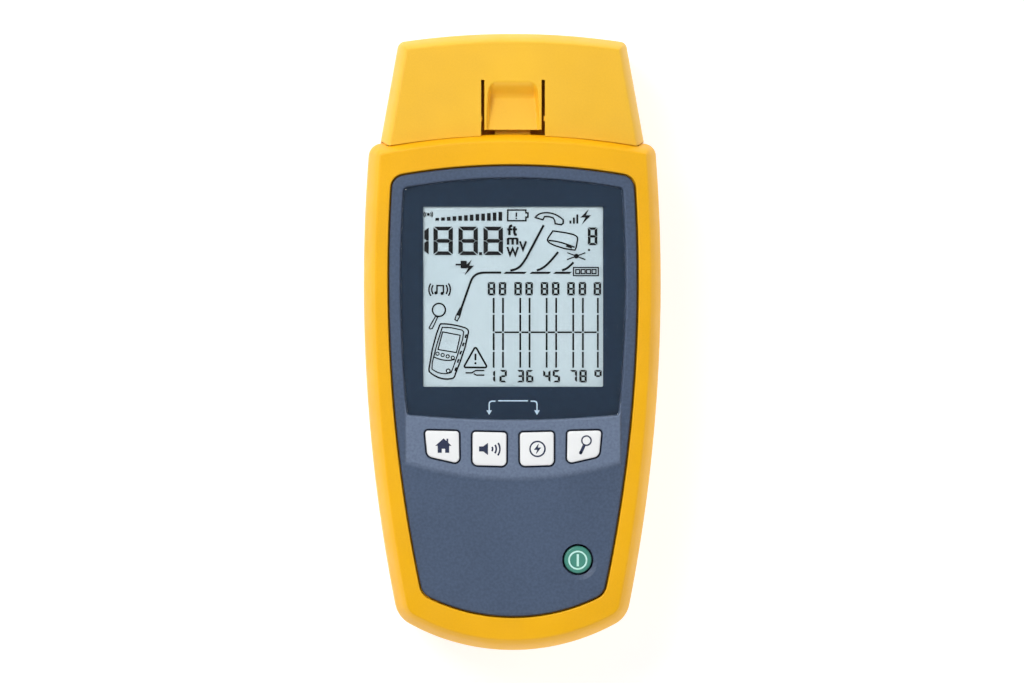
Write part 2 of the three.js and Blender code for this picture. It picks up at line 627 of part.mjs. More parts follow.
function batteryDoor() {
  const corners = rectangle(-DOOR.halfWidth, DOOR.halfWidth, DOOR.bottom, DOOR.top);
  const sheet = slab(rounded(corners, [DOOR.corner, DOOR.corner, 1, 1]), 0, DOOR.thickness);
  const tabs = [-1, 1].map((side) => {
    const [near, far] = [side * TAB.from, side * TAB.to].sort((a, b) => a - b);
    const hook = [
      [DOOR.top - 2, 1], [DOOR.top, 1], [DOOR.top, TAB.low],
      [DOOR.top + TAB.reach, TAB.low], [DOOR.top + TAB.reach, TAB.high], [DOOR.top - 2, TAB.high],
    ];
    return profileAcross(hook, near, far);
  });
  const ribs = Array.from({ length: 5 }, (_, i) =>
    block(-9, 9, -58 + i * 2.4, -57 + i * 2.4, -1, 0.4));
  return cut(
    join(sheet, ...tabs),
    rod(0, DOOR_SCREW.y, -1, 1.5, DOOR_SCREW.head + 0.3),
    rod(0, DOOR_SCREW.y, 0, DOOR.thickness + 1, DOOR_SCREW.hole),
    ...ribs,
  );
}

// ---------- the adapter ----------

const ADAPTER_OUTER = [
  [5, ADAPTER.back], [3, 3.1], [1.6, 4.4], [0.8, 6.5], [0.3, 12], [0, PARTING],
  [0.25, 26.2], [1.1, 29.7], [2.1, 31.9], [2.8, ADAPTER.front],
];
const ADAPTER_INNER = [[4.6, 5], [3, 6.5], [2.4, 12], [2.2, PARTING], [2.9, 24], [3.7, 28.6], [4.4, 30]];

function adapterShells() {
  const shoulderWall = 2;
  const body = loft(adapterRings(ADAPTER_OUTER, 0));
  const { halfWidth, end, low, high, wall, corner } = PLUG;
  const plug = profileAlong(rounded(rectangle(-halfWidth, halfWidth, low, high), corner), end, 56.5);
  const outside = join(body, plug);
  const hollow = join(
    loft(adapterRings(ADAPTER_INNER, shoulderWall)),
    profileAlong(
      rounded(rectangle(wall - halfWidth, halfWidth - wall, low + wall, high - wall), corner - 1.5),
      end - 1, 59,
    ),
  );
  const bosses = ADAPTER_SCREWS.flatMap(([x, y]) => [
    rod(x, y, 0, PARTING, ADAPTER_SCREW.boss),
    rod(x, y, PARTING, FRONT, ADAPTER_SCREW.post),
  ]).map((boss) => boss.intersect(outside));
  const screwTip = ADAPTER_SCREW.seat + ADAPTER_SCREW.length + SLACK;
  const screwWays = ADAPTER_SCREWS.flatMap(([x, y]) => [
    rod(x, y, 0, ADAPTER_SCREW.seat, ADAPTER_SCREW.head + GAP),
    rod(x, y, ADAPTER_SCREW.seat - 1, screwTip, ADAPTER_SCREW.shaft + GAP),
  ]);
  const wellWide = TONGUE.slot + WELL.wall;
  const well = block(
    -wellWide, wellWide, TONGUE.bridge - WELL.wall, TONGUE.root + WELL.rootWall, WELL.floor, WELL.top,
  );
  const tongueSlot = block(
    -TONGUE.slot, TONGUE.slot, TONGUE.bridge, TONGUE.root, WELL.slotLow, FRONT,
  );
  const shell = cut(join(cut(outside, hollow), well, ...bosses), tongueSlot, ...screwWays);
  const span = [-50, 50, 40, 90];
  return {
    front: shell.intersect(block(...span, PARTING_HIGH, FRONT + 5)),
    rear: shell.intersect(block(...span, -5, PARTING_LOW)),
  };
}

// The sprung tongue: a tray whose floor drops from the root and rises to a hooked end.
function latchTongue() {
  const root = TONGUE.root - GAP;
  const body = profileAcross([
    [TONGUE.end, 29.4], [63, 26], [66, 26.4], [root, 29.6], [root, ADAPTER.front], [TONGUE.end, 32],
  ], -TONGUE.halfWidth, TONGUE.halfWidth);
  const scoop = profileAcross([
    [TONGUE.end - 1, 31.7], [63.8, 28.2], [67.4, ADAPTER.front + 0.1], [67.4, FRONT], [TONGUE.end - 1, FRONT],
  ], -6.1, 6.1);
  const hook = block(-HOOK.halfWidth, HOOK.halfWidth, HOOK.tip, HOOK.back, HOOK.low, HOOK.high);
  return join(cut(body, scoop), hook);
}

// ---------- assembly ----------

const tester = new THREE.Group();
const adapter = new THREE.Group();

function place(group, name, shape, material, position = [0, 0, 0]) {
  const geometry = shape.isBufferGeometry ? shape : geometryOf(shape);
  const mesh = new THREE.Mesh(geometry, material);
  mesh.name = name;
  mesh.position.set(...position);
  group.add(mesh);
  return mesh;
}

place(tester, "rear_case", rearCase(), YELLOW);
place(tester, "front_shell", frontShell(), YELLOW);
place(tester, "front_panel", frontPanel(), PANEL_GREY);
place(tester, "display_lens", displayLens(), NAVY);
place(tester, "lcd_glass", block(
  -LCD.halfWidth, LCD.halfWidth, LCD.bottom, LCD.top, LCD.low, LCD.high,
), LCD_GREY);
place(tester, "lcd_frame", lcdFrame(), BLACK);
place(tester, "lcd_backlight", block(
  -BACKLIGHT.halfWidth, BACKLIGHT.halfWidth, BACKLIGHT.bottom, BACKLIGHT.top, BACKLIGHT.low, BACKLIGHT.high,
), WHITE);
place(tester, "lcd_connector_strip", block(
  -STRIP.halfWidth, STRIP.halfWidth, STRIP.bottom, STRIP.top, LCD_FRAME.low, LCD_FRAME.high,
), BLACK);
place(tester, "main_board", mainBoard(), BOARD_GREEN);
place(tester, "keypad_frame", keypadFrame(), BLACK);

for (const key of KEYS) {
  place(tester, key.name, keyCap(key), WHITE);
  place(tester, key.name.replace("key", "dome"), snapDome(), STEEL, [key.x, key.y, 0]);
}
place(tester, "power_button", powerButton(), GREEN);
place(tester, "dome_power", snapDome(), STEEL, [POWER.x, POWER.y, 0]);

place(tester, "connector_plate", connectorPlate(), BLACK);
place(tester, "tester_jack", jackBody(), BLACK, [0, TESTER_JACK.y, TESTER_JACK.z]);
place(tester, "tester_jack_contacts", jackContacts(), GOLD, [0, TESTER_JACK.y, TESTER_JACK.z]);
place(tester, "processor_chip", block(-29, -19, -5, 5, 17.6, BOARD.low - GAP), BLACK);
place(tester, "line_transformer", block(-8, 8, 17, 27, 12.8, BOARD.low - GAP), BLACK);
place(tester, "buzzer", buzzer(), BLACK);

CASE_SCREWS.forEach(([x, y], i) =>
  place(tester, `case_screw_${i + 1}`, screw(CASE_SCREW), STEEL, [x, y, CASE_SCREW.seat - GAP]));
BOARD_SCREWS.forEach(([x, y], i) =>
  place(tester, `board_screw_${i + 1}`, screw(BOARD_SCREW), STEEL, [x, y, BOARD.low - GAP]));

place(tester, "cell_left", cell(), WRAP, [-CELL.x, CELL_TIP.left, CELL.z]);
const rightCell = place(tester, "cell_right", cell(), WRAP, [CELL.x, CELL_TIP.right, CELL.z]);
rightCell.rotation.z = Math.PI;
const linkY = CELL_TIP.right - GAP;
place(tester, "battery_link", block(-13, 13, linkY - 0.5, linkY, 5, 15), STEEL);
place(tester, "battery_spring_left", spring(), STEEL, [-CELL.x, linkY + GAP, CELL.z]);
const rightSpring = place(tester, "battery_spring_right", spring(), STEEL, [CELL.x, CELL_TIP.left, CELL.z]);
rightSpring.rotation.z = Math.PI;
const plateY = CELL_TIP.left + GAP;
place(tester, "battery_plate_positive", block(-13, -2, plateY, plateY + 0.4, 5.5, 15), STEEL);
place(tester, "battery_plate_negative", block(2, 13, plateY, plateY + 0.4, 5.5, 15), STEEL);
place(tester, "battery_door", batteryDoor(), YELLOW);
place(tester, "battery_door_screw", screw(DOOR_SCREW), STEEL, [0, DOOR_SCREW.y, DOOR_SCREW.headHeight + 0.2]);

const shells = adapterShells();
place(adapter, "adapter_front_shell", shells.front, ADAPTER_YELLOW);
place(adapter, "adapter_rear_shell", shells.rear, ADAPTER_YELLOW);
place(adapter, "adapter_connector_plate", adapterConnectorPlate(), BLACK);
const jackPlace = [0, ADAPTER_JACK.y, ADAPTER_JACK.z];
for (const [name, shape, material] of [
  ["adapter_jack", jackBody(), BLACK],
  ["adapter_jack_contacts", jackContacts(), GOLD],
]) {
  place(adapter, name, shape, material, jackPlace).rotation.z = Math.PI;
}
const boardLow = ADAPTER_JACK.z + JACK.height + GAP;
place(adapter, "adapter_board", block(-19, 19, 50.2, 73, boardLow, boardLow + 1.6), BOARD_GREEN);
place(adapter, "adapter_id_resistors", block(-6, 6, 69.6, 72.4, boardLow + 1.9, boardLow + 3), BLACK);
ADAPTER_SCREWS.forEach(([x, y], i) =>
  place(adapter, `adapter_screw_${i + 1}`, screw(ADAPTER_SCREW), STEEL, [x, y, ADAPTER_SCREW.seat - GAP]));
place(adapter, "latch_tongue", latchTongue(), ADAPTER_YELLOW);

const assembly = new THREE.Group();
assembly.add(tester, adapter);

export default assembly;
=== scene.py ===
"""A handheld network cable tester lying on its back, with its wiremap adapter docked at the top end.

Sizes are in millimetres, in the CAD model's frame: X to the right, Y towards the adapter, and Z from
the back (0) to the display. A piece becomes metres when it joins the frame.
"""

import cmath
import math
from types import SimpleNamespace as Sizes

import bmesh
import bpy
import numpy as np
from mathutils import Matrix, Vector
from mathutils.geometry import delaunay_2d_cdt


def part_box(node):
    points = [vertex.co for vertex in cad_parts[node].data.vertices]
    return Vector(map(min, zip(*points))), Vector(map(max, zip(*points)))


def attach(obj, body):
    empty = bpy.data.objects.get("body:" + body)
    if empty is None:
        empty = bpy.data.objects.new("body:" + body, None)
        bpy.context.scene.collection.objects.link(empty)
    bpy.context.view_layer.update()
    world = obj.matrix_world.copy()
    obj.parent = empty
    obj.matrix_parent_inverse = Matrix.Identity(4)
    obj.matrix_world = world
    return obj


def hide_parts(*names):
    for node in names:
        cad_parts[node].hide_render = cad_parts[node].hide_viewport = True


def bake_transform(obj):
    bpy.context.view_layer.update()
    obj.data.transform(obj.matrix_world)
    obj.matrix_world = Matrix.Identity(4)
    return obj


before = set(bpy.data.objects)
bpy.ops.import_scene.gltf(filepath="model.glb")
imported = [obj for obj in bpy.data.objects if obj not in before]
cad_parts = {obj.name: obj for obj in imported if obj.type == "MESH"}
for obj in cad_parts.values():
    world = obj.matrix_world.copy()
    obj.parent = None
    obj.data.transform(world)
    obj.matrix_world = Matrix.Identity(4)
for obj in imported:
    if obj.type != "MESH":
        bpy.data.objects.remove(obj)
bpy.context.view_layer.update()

# ---------- driving dimensions ----------

MM = 0.001


def low(node):
    """The lowest corner of a CAD node, in millimetres."""
    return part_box(node)[0] / MM


def high(node):
    """The highest corner of a CAD node, in millimetres."""
    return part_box(node)[1] / MM


def middle(node):
    """The middle of a CAD node's box."""
    return (low(node) + high(node)) / 2


def flat_middle(node):
    """A CAD node's middle seen from above."""
    return complex(*middle(node).xy)


GAP = 0.3
FRONT = high("front_shell").z
PARTING_HIGH = low("front_shell").z
PARTING_LOW = PARTING_HIGH - GAP
PARTING = (PARTING_LOW + PARTING_HIGH) / 2

# Each outline is a top arc, two side arcs and a bottom arc, joined by corner fillets.
CASE = Sizes(
    top=55.4, top_radius=183, top_fillet=3.4, half_width=38.98, widest_y=15.5, side_radius=436,
    bottom=-80.9, bottom_radius=56.2, bottom_fillet=7.3,
)
PANEL = Sizes(
    top=45.95, top_radius=171, top_fillet=3.4, half_width=32.4, widest_y=16.5, side_radius=392,
    bottom=-71.75, bottom_radius=50, bottom_fillet=4.2,
)
LENS = Sizes(
    top=42.7, top_radius=155, top_fillet=0.9, half_width=29.3, widest_y=16, side_radius=350,
    bottom=-20.3, bottom_radius=294, bottom_fillet=0.9,
)
LEAST_FILLET = 0.4
RING = Sizes(bottom=24, low_fillet=10, side=110, high_fillet=8, top=24)  # points on half an outline

# The adapter's sides are straight and lean inwards; its foot follows the case's top wall.
ADAPTER = Sizes(top=80.9, top_radius=196, top_fillet=2.1, corner=34.5 + 52.8j, lean=0.18)
FOOT_GAP = Sizes(middle=0.12, end=0.3)

# Profiles are lists of (inset from the outline, height).
REAR_OUTER = [(6, 0), (4.2, 0.35), (2.6, 1.2), (1.5, 2.6), (0.9, 4.5), (0.25, 12), (0, PARTING_LOW - 0.2)]
WALL_RIM = [(0.25, PARTING_HIGH)]  # leaves a fine groove round the case
REAR_INNER = [(0.25, PARTING_LOW), (2.5, PARTING_LOW), (3.2, 7), (4.2, 4), (7, 2.5)]
WALL_UP = [
    (0, PARTING_HIGH + 0.2), (0.1, 25), (0.25, 27.8), (0.5, 29.1), (1, 30.9), (1.6, 32.6),
    (2.1, 33.65), (2.6, 34.4), (2.9, 34.8), (3.3, FRONT),
]
PANEL_EDGE = [(-0.75, FRONT), (-0.55, 34.9), (-0.43, 34.65), (-0.4, 34.3)]
LEDGE_RINGS = [(-0.4, 32.2), (1.6, 32.2), (1.6, 31), (-2, 31), (-2, 32.8)]
WALL_DOWN = [(3.4, 32.8), (3.2, 31.5), (3, 28), (2.5, 22), (2.4, PARTING_HIGH)]
ADAPTER_BACK = 2.6
ADAPTER_OUTER = [
    (5, ADAPTER_BACK), (3, 3.1), (1.6, 4.4), (0.8, 6.5), (0.3, 12), (0, PARTING),
    (0.1, 24), (0.25, 26.2), (0.6, 28), (1.1, 29.7), (1.6, 31), (2.1, 31.9), (2.45, 32.3), (2.8, 32.4),
]
ADAPTER_INNER = [(4.6, 5), (3, 6.5), (2.4, 12), (2.2, PARTING), (2.9, 24), (3.7, 28.6), (4.4, 30)]

DOCK = Sizes(half_width=33, start=48, low=3.6, high=31.5)
PLUG = Sizes(half_width=32.6, end=48.3, low=3.9, high=31.2, wall=2, corner=4)
PANEL_Z = Sizes(bottom=32.3, top=34.4, band=high("front_panel").z, seat=32.6)
WINDOW = Sizes(half_width=23.5, bottom=-11.7, top=35.3)  # the clear part of the lens
LCD = Sizes(half_width=25.5, bottom=-16, top=37, back=30.4, front=32.4, clearance=0.3)
BAND = Sizes(bottom=-37, radius=95.4, half_width=28.5, top=-16, softness=2.2, side_softness=0.8)

INNER_KEY = [1.8 - 32.45j, 10.6 - 32.2j, 10.6 - 23.5j, 1.75 - 23.7j]
OUTER_KEY = [14.05 - 31.8j, 22.4 - 29.9j, 23.05 - 23.15j, 14.2 - 23.35j]
INNER_RADII = [1.3, 1.3, 0.8, 0.8]
OUTER_RADII = [1.2, 1.7, 0.8, 0.8]
KEY = Sizes(clearance=0.45, top=high("key_home").z - 0.03, bottom=29.2, print_height=0.03)
POWER = Sizes(
    centre=flat_middle("power_button"), radius=3.6, hole=4.1, top=high("power_button").z - 0.03,
    dish_offset=0.36 - 0.62j, dish=4.82, floor=3.4, depth=0.52,  # a finger dish, off centre
)
EDGE_ROUND = 0.5  # rounding of the panel's outer edge and lens rim
HOLE_SHARE = 0.6  # the key holes' rounding, as a share of it
LENS_MARGIN = 0.25
WALL_LEAN = 0.06  # draft of the lens seat's wall
SEAL = Sizes(bottom=31.2, key_top=33.9, power_top=32.6, slope=0.2, outer_play=0.03, inner_play=0.12)
ARROW = Sizes(x=6.25, tip=-19.1, shoulder=-17.9, half_width=0.72, width=0.3)
GRIP = Sizes(count=5, pitch=12, first=-36, z=9.5, depth=1.7, half_length=6.4, half_height=6.6)

BAY = Sizes(half_width=15.6, bottom=-60, top=-4, roof=17.4, wall=1.5, roof_wall=1.2)
DOOR = Sizes(half_width=17.2, bottom=-68.7, top=-1.8, thickness=2.2, corner=6, upper_corner=1)
DOOR_SCREW = Sizes(y=-65, way=3.2, hole=2.1)
RIBS = Sizes(count=5, first=-58, pitch=2.4, half_length=9, width=1)  # grip ribs across the door
BOSS = Sizes(case=4.3, door=4, adapter=3.9)  # radii of the screw bosses
LEDGE = Sizes(half_width=19.5, bottom=-70.5, top=0.5, low=2.5, high=4)
TAB = Sizes(start=9, end=12, reach=2.3, low=2.8, high=4)
SCREW_WAY = Sizes(case_seat=8, case_head=2.8, adapter_seat=9, adapter_head=2.6, shaft=1.3)
TONGUE = Sizes(half_width=7.5, slot=8.35, end=55.4, root=68.5, face=32.4, bridge=51.5, bend=2.5)
WELL = Sizes(floor=23.3, slot_low=24.5, top=31, wall=1.2, root_wall=0.6)  # closes the slot's underside
NUB = Sizes(start=57.7, end=59.1, low=29.2, high=31.8, reach=0.32, root=0.3)  # on the slot's sides
SCOOP = Sizes(
    end_depth=0.9, deepest=3.4, foot=63.7, crest=68.35, end_width=7.1, top_width=6.4, wall=1, corner=2.6,
)
HOOK = Sizes(half_width=4.7, tip=53, catch=54, neck=54.4, back=56.6, low=26.6, neck_top=28.7, high=30.1)


# ---------- flat geometry, with points as complex numbers ----------

def arc(centre, radius, start, end, steps):
    """Points from start up to, but not at, end."""
    return [centre + cmath.rect(radius, start + (end - start) * i / steps) for i in range(steps)]


def circle(centre, radius, steps=48):
    """Points all round, anticlockwise from the right."""
    return arc(centre, radius, 0, 2 * math.pi, steps)


def mirrored(points):
    """The points mirrored left to right, in reverse order."""
    return [-p.conjugate() for p in reversed(points)]


def crossing(a, radius_a, b, radius_b, upper):
    """Where two circles cross, on their upper or their lower side."""
    apart = abs(b - a)
    along = (radius_a**2 - radius_b**2 + apart**2) / (2 * apart)
    across = math.sqrt(radius_a**2 - along**2)
    ends = [a + (b - a) / apart * complex(along, side * across) for side in (1, -1)]
    return (max if upper else min)(ends, key=lambda p: p.imag)


def outline(spec, inset=0.0):
    """A case, panel or lens outline, moved inwards by inset, anticlockwise from the bottom middle."""
    top = complex(0, spec.top - spec.top_radius)
    side = complex(spec.half_width - spec.side_radius, spec.widest_y)
    bottom = complex(0, spec.bottom + spec.bottom_radius)
    top_r, side_r, bottom_r = (r - inset for r in (spec.top_radius, spec.side_radius, spec.bottom_radius))
    lower = max(spec.bottom_fillet - inset, LEAST_FILLET)
    upper = max(spec.top_fillet - inset, LEAST_FILLET)
    lower_centre = crossing(bottom, bottom_r - lower, side, side_r - lower, False)
    upper_centre = crossing(top, top_r - upper, side, side_r - upper, True)
    turns = [
        -math.pi / 2, cmath.phase(lower_centre - bottom), cmath.phase(lower_centre - side),
        cmath.phase(upper_centre - side), cmath.phase(upper_centre - top), math.pi / 2,
    ]
    half = (
        arc(bottom, bottom_r, turns[0], turns[1], RING.bottom)
        + arc(lower_centre, lower, turns[1], turns[2], RING.low_fillet)
        + arc(side, side_r, turns[2], turns[3], RING.side)
        + arc(upper_centre, upper, turns[3], turns[4], RING.high_fillet)
        + arc(top, top_r, turns[4], turns[5], RING.top)
    )
    return half + [complex(0, spec.top - inset)] + mirrored(half[1:])


def reach(point, direction, centre, radius):
    """Where a line from a point meets a circle, further along the line."""
    offset = point - centre
    b = (direction.conjugate() * offset).real
    return point + direction * (-b + math.sqrt(b * b - abs(offset) ** 2 + radius * radius))


def adapter_outline(inset, foot_radius, gap_middle, gap_end):
    """The adapter's outline moved inwards by inset; its foot is an arc round the case's top centre."""
    up = complex(-ADAPTER.lean, 1)
    up /= abs(up)
    top = complex(0, ADAPTER.top - ADAPTER.top_radius)
    foot_centre = complex(0, CASE.top - CASE.top_radius)
    fillet = max(ADAPTER.top_fillet - inset, LEAST_FILLET)
    top_r = ADAPTER.top_radius - inset
    fillet_centre = reach(ADAPTER.corner + up * 1j * (inset + fillet), up, top, top_r - fillet)
    foot = reach(ADAPTER.corner + up * 1j * inset, up, foot_centre, foot_radius + gap_end)
    end_turn = cmath.phase(foot - foot_centre)
    steps = 24
    foot_arc = []
    for i in range(steps + 1):
        share = i / steps
        radius = foot_radius + gap_middle + (gap_end - gap_middle) * share**2
        foot_arc.append(foot_centre + cmath.rect(radius, math.pi / 2 + (end_turn - math.pi / 2) * share))
    side_start = fillet_centre - up * 1j * fillet
    side = [foot + (side_start - foot) * i / 20 for i in range(1, 20)]
    top_turn = cmath.phase(fillet_centre - top)
    half = (
        foot_arc + side
        + arc(fillet_centre, fillet, cmath.phase(-up * 1j), top_turn, 10)
        + arc(top, top_r, top_turn, math.pi / 2, 24)
    )
    return half + [complex(0, ADAPTER.top - inset)] + mirrored(half[1:])


def neighbours(corners):
    """Each corner with the unit directions to the one before it and the one after it."""
    count = len(corners)
    for i, corner in enumerate(corners):
        before = corners[i - 1] - corner
        after = corners[(i + 1) % count] - corner
        yield corner, before / abs(before), after / abs(after)


def rounded(corners, radii, steps=8):
    """A convex anticlockwise polygon with each corner rounded by its own radius."""
    points = []
    for (corner, before, after), radius in zip(neighbours(corners), radii):
        half = abs(cmath.phase(before / after)) / 2
        centre = corner + (before + after) / abs(before + after) * radius / math.sin(half)
        start = cmath.phase(corner + before * radius / math.tan(half) - centre)
        turn = math.pi - 2 * half
        points += arc(centre, radius, start, start + turn * (1 + 1 / steps), steps + 1)
    return points


def grown(corners, distance):
    """A convex polygon with every edge moved outwards."""
    moved = []
    for corner, before, after in neighbours(corners):
        half = abs(cmath.phase(before / after)) / 2
        moved.append(corner - (before + after) / abs(before + after) * distance / math.sin(half))
    return moved


def rectangle(x0, x1, y0, y1):
    """The corners, anticlockwise from the lower left."""
    return [complex(x0, y0), complex(x1, y0), complex(x1, y1), complex(x0, y1)]


def span(side, a, b):
    """The range from a to b on the right (side 1), or mirrored to the left (side -1)."""
    return sorted((side * a, side * b))


def smooth(profile, steps=5):
    """A Catmull-Rom curve through a profile's points, kept between each pair of neighbours."""
    points = [np.array(p, float) for p in profile]
    ends = [2 * points[0] - points[1], *points, 2 * points[-1] - points[-2]]
    curve = []
    for a, b, c, d in zip(ends, ends[1:], ends[2:], ends[3:]):
        for i in range(steps):
            t = i / steps
            squared = 2 * a - 5 * b + 4 * c - d
            cubed = 3 * (b - c) + d - a
            p = b + ((c - a) * t + squared * t**2 + cubed * t**3) / 2
            curve.append(tuple(np.clip(p, np.minimum(b, c), np.maximum(b, c))))
    return curve + [tuple(points[-1])]


def rounded_rim(top, radius, start=0.0, count=6):
    """(inset, height) pairs up over a rounded top edge."""
    return [
        (radius * (1 - math.cos(t)), top - radius * (1 - math.sin(t)))
        for t in np.linspace(start, math.pi / 2, count)
    ]


def ease(t):
    """A soft step from 0 to 1."""
    t = min(max(t, 0), 1)
    return t * t * (3 - 2 * t)


# ---------- meshes ----------

def new_object(name, data):
    """An object in the scene with this mesh, lamp or camera."""
    obj = bpy.data.objects.new(name, data)
    bpy.context.scene.collection.objects.link(obj)
    return obj


def mesh_object(name, vertices, faces):
    """A mesh whose faces all point outwards."""
    mesh = bpy.data.meshes.new(name)
    mesh.from_pydata(vertices, [], faces)
    work = bmesh.new()
    work.from_mesh(mesh)
    bmesh.ops.recalc_face_normals(work, faces=work.faces)
    work.to_mesh(mesh)
    work.free()
    return new_object(name, mesh)


def loft(name, rings, looped=False):
    """Skins (points, height) rings of equal length. An open stack is capped at both ends."""
    count = len(rings[0][0])
    vertices = [(p.real, p.imag, z) for points, z in rings for p in points]
    faces = []
    for r in range(len(rings) if looped else len(rings) - 1):
        low_ring, high_ring = r * count, (r + 1) % len(rings) * count
        for i in range(count):
            j = (i + 1) % count
            faces.append((low_ring + i, low_ring + j, high_ring + j, high_ring + i))
    if not looped:
        faces.append(tuple(range(count))[::-1])
        faces.append(tuple(range((len(rings) - 1) * count, len(rings) * count)))
    return mesh_object(name, vertices, faces)


def slab(points, z0, z1, name="slab"):
    """An outline extruded straight up."""
    return loft(name, [(points, z0), (points, z1)])


def block(x0, x1, y0, y1, z0, z1, name="block"):
    """A box."""
    return slab(rectangle(x0, x1, y0, y1), z0, z1, name)


def rod(centre, z0, z1, radius):
    """An upright cylinder."""
    return slab(circle(centre, radius), z0, z1, "rod")


def across(points, x0, x1):
    """An outline in Y and Z, extruded along X."""
    obj = slab(points, x0, x1, "across")
    obj.data.transform(Matrix(((0, 0, 1, 0), (1, 0, 0, 0), (0, 1, 0, 0), (0, 0, 0, 1))))
    return obj


def along(points, y0, y1):
    """An outline in X and Z, extruded along Y."""
    obj = slab(points, -y1, -y0, "along")
    obj.data.transform(Matrix(((1, 0, 0, 0), (0, 0, -1, 0), (0, 1, 0, 0), (0, 0, 0, 1))))
    return obj


def turned(name, profile, centre=0j, sides=64):
    """A body of revolution about a vertical axis, from (radius, height) pairs."""
    return loft(name, [(circle(centre, max(r, 0.001), sides), z) for r, z in profile])


def apply_modifiers(obj):
    """Bakes the object's modifiers into its mesh."""
    graph = bpy.context.evaluated_depsgraph_get()
    before = obj.data
    obj.data = bpy.data.meshes.new_from_object(obj.evaluated_get(graph))
    obj.modifiers.clear()
    bpy.data.meshes.remove(before)
    return obj


def combined(body, operation, *tools):
    """Cuts ("DIFFERENCE"), adds ("UNION") or keeps inside ("INTERSECT") each tool, and removes it."""
    for tool in tools:
        modifier = body.modifiers.new("boolean", "BOOLEAN")
        modifier.operation = operation
        modifier.object = tool
        modifier.solver = "EXACT"
        apply_modifiers(body)
        bpy.data.objects.remove(tool)


def add_bevel(obj, width, segments):
    """A bevel modifier on the sharp edges only."""
    modifier = obj.modifiers.new("bevel", "BEVEL")
    modifier.width = width
    modifier.segments = segments
    modifier.limit_method = "ANGLE"


def bevelled(obj, width):
    """An object with its sharp edges rounded."""
    add_bevel(obj, width, 3)
    return apply_modifiers(obj)


def joined(name, objects):
    """One mesh holding several separate solids."""
    work = bmesh.new()
    for obj in objects:
        work.from_mesh(obj.data)
        bpy.data.objects.remove(obj)
    mesh = bpy.data.meshes.new(name)
    work.to_mesh(mesh)
    work.free()
    return new_object(name, mesh)


SHARP = math.radians(32)  # edges that turn more than this are shaded sharp


def piece(obj, name, body, material, replaces=()):
    """Names a finished mesh, shades it, turns it into metres and puts it in the frame."""
    obj.name = obj.data.name = name
    obj.data.transform(Matrix.Scale(MM, 4))
    obj.data.shade_smooth()
    obj.data.set_sharp_from_angle(angle=SHARP)
    if not obj.data.materials:
        obj.data.materials.append(material)
    obj.modifiers.new("normals", "WEIGHTED_NORMAL").keep_sharp = True
    if body:
        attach(obj, body)
    if replaces:
        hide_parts(*replaces)


# ---------- materials ----------

def srgb(r, g, b):
    """A colour given as 8-bit sRGB, in linear light."""
    linear = [c / 255 / 12.92 if c <= 10 else ((c / 255 + 0.055) / 1.055) ** 2.4 for c in (r, g, b)]
    return (*linear, 1)


def scaled(colour, factor):
    """A colour made lighter or darker."""
    return (*(min(c * factor, 1) for c in colour[:3]), 1)


def new_material(name):
    """A node material, its node tree and its shader."""
    material = bpy.data.materials.new(name)
    material.use_nodes = True
    shader = material.node_tree.nodes["Principled BSDF"]
    return material, material.node_tree, shader


def noise(tree, feature, detail=2.0):
    """Noise in the piece's own space, whose features are about so many millimetres wide."""
    place = tree.nodes.new("ShaderNodeTexCoord")
    texture = tree.nodes.new("ShaderNodeTexNoise")
    texture.inputs["Scale"].default_value = 1 / (feature * MM)
    texture.inputs["Detail"].default_value = detail
    tree.links.new(place.outputs["Object"], texture.inputs["Vector"])
    return texture.outputs["Fac"]


def spread(tree, value, lowest, highest, start=0.3, end=0.7):
    """A value's range from start to end, mapped to lowest to highest."""
    node = tree.nodes.new("ShaderNodeMapRange")
    node.inputs["From Min"].default_value = start
    node.inputs["From Max"].default_value = end
    node.inputs["To Min"].default_value = lowest
    node.inputs["To Max"].default_value = highest
    tree.links.new(value, node.inputs["Value"])
    return node.outputs["Result"]


def between(tree, factor, first, second):
    """A colour from first (factor 0) to second (factor 1), each a colour or another node's output."""
    node = tree.nodes.new("ShaderNodeMix")
    node.data_type = "RGBA"
    tree.links.new(factor, node.inputs["Factor"])
    for socket, value in (("A", first), ("B", second)):
        colour = next(s for s in node.inputs if s.name == socket and s.type == "RGBA")
        if isinstance(value, bpy.types.NodeSocket):
            tree.links.new(value, colour)
        else:
            colour.default_value = value
    return next(s for s in node.outputs if s.type == "RGBA")


def mottled(tree, feature, first, second):
    """A colour that drifts between two colours or node outputs."""
    return between(tree, spread(tree, noise(tree, feature), 0, 1), first, second)


def paint(tree, shader, colour, roughness_feature, smoothest, roughest):
    """Links a colour to a shader, and a roughness that drifts over the surface."""
    tree.links.new(colour, shader.inputs["Base Color"])
    roughness = spread(tree, noise(tree, roughness_feature), smoothest, roughest)
    tree.links.new(roughness, shader.inputs["Roughness"])


def bumped(tree, shader, height, depth):
    """A relief on a shader's surface, from a height between 0 and 1."""
    node = tree.nodes.new("ShaderNodeBump")
    node.inputs["Distance"].default_value = depth * MM
    tree.links.new(height, node.inputs["Height"])
    tree.links.new(node.outputs["Normal"], shader.inputs["Normal"])


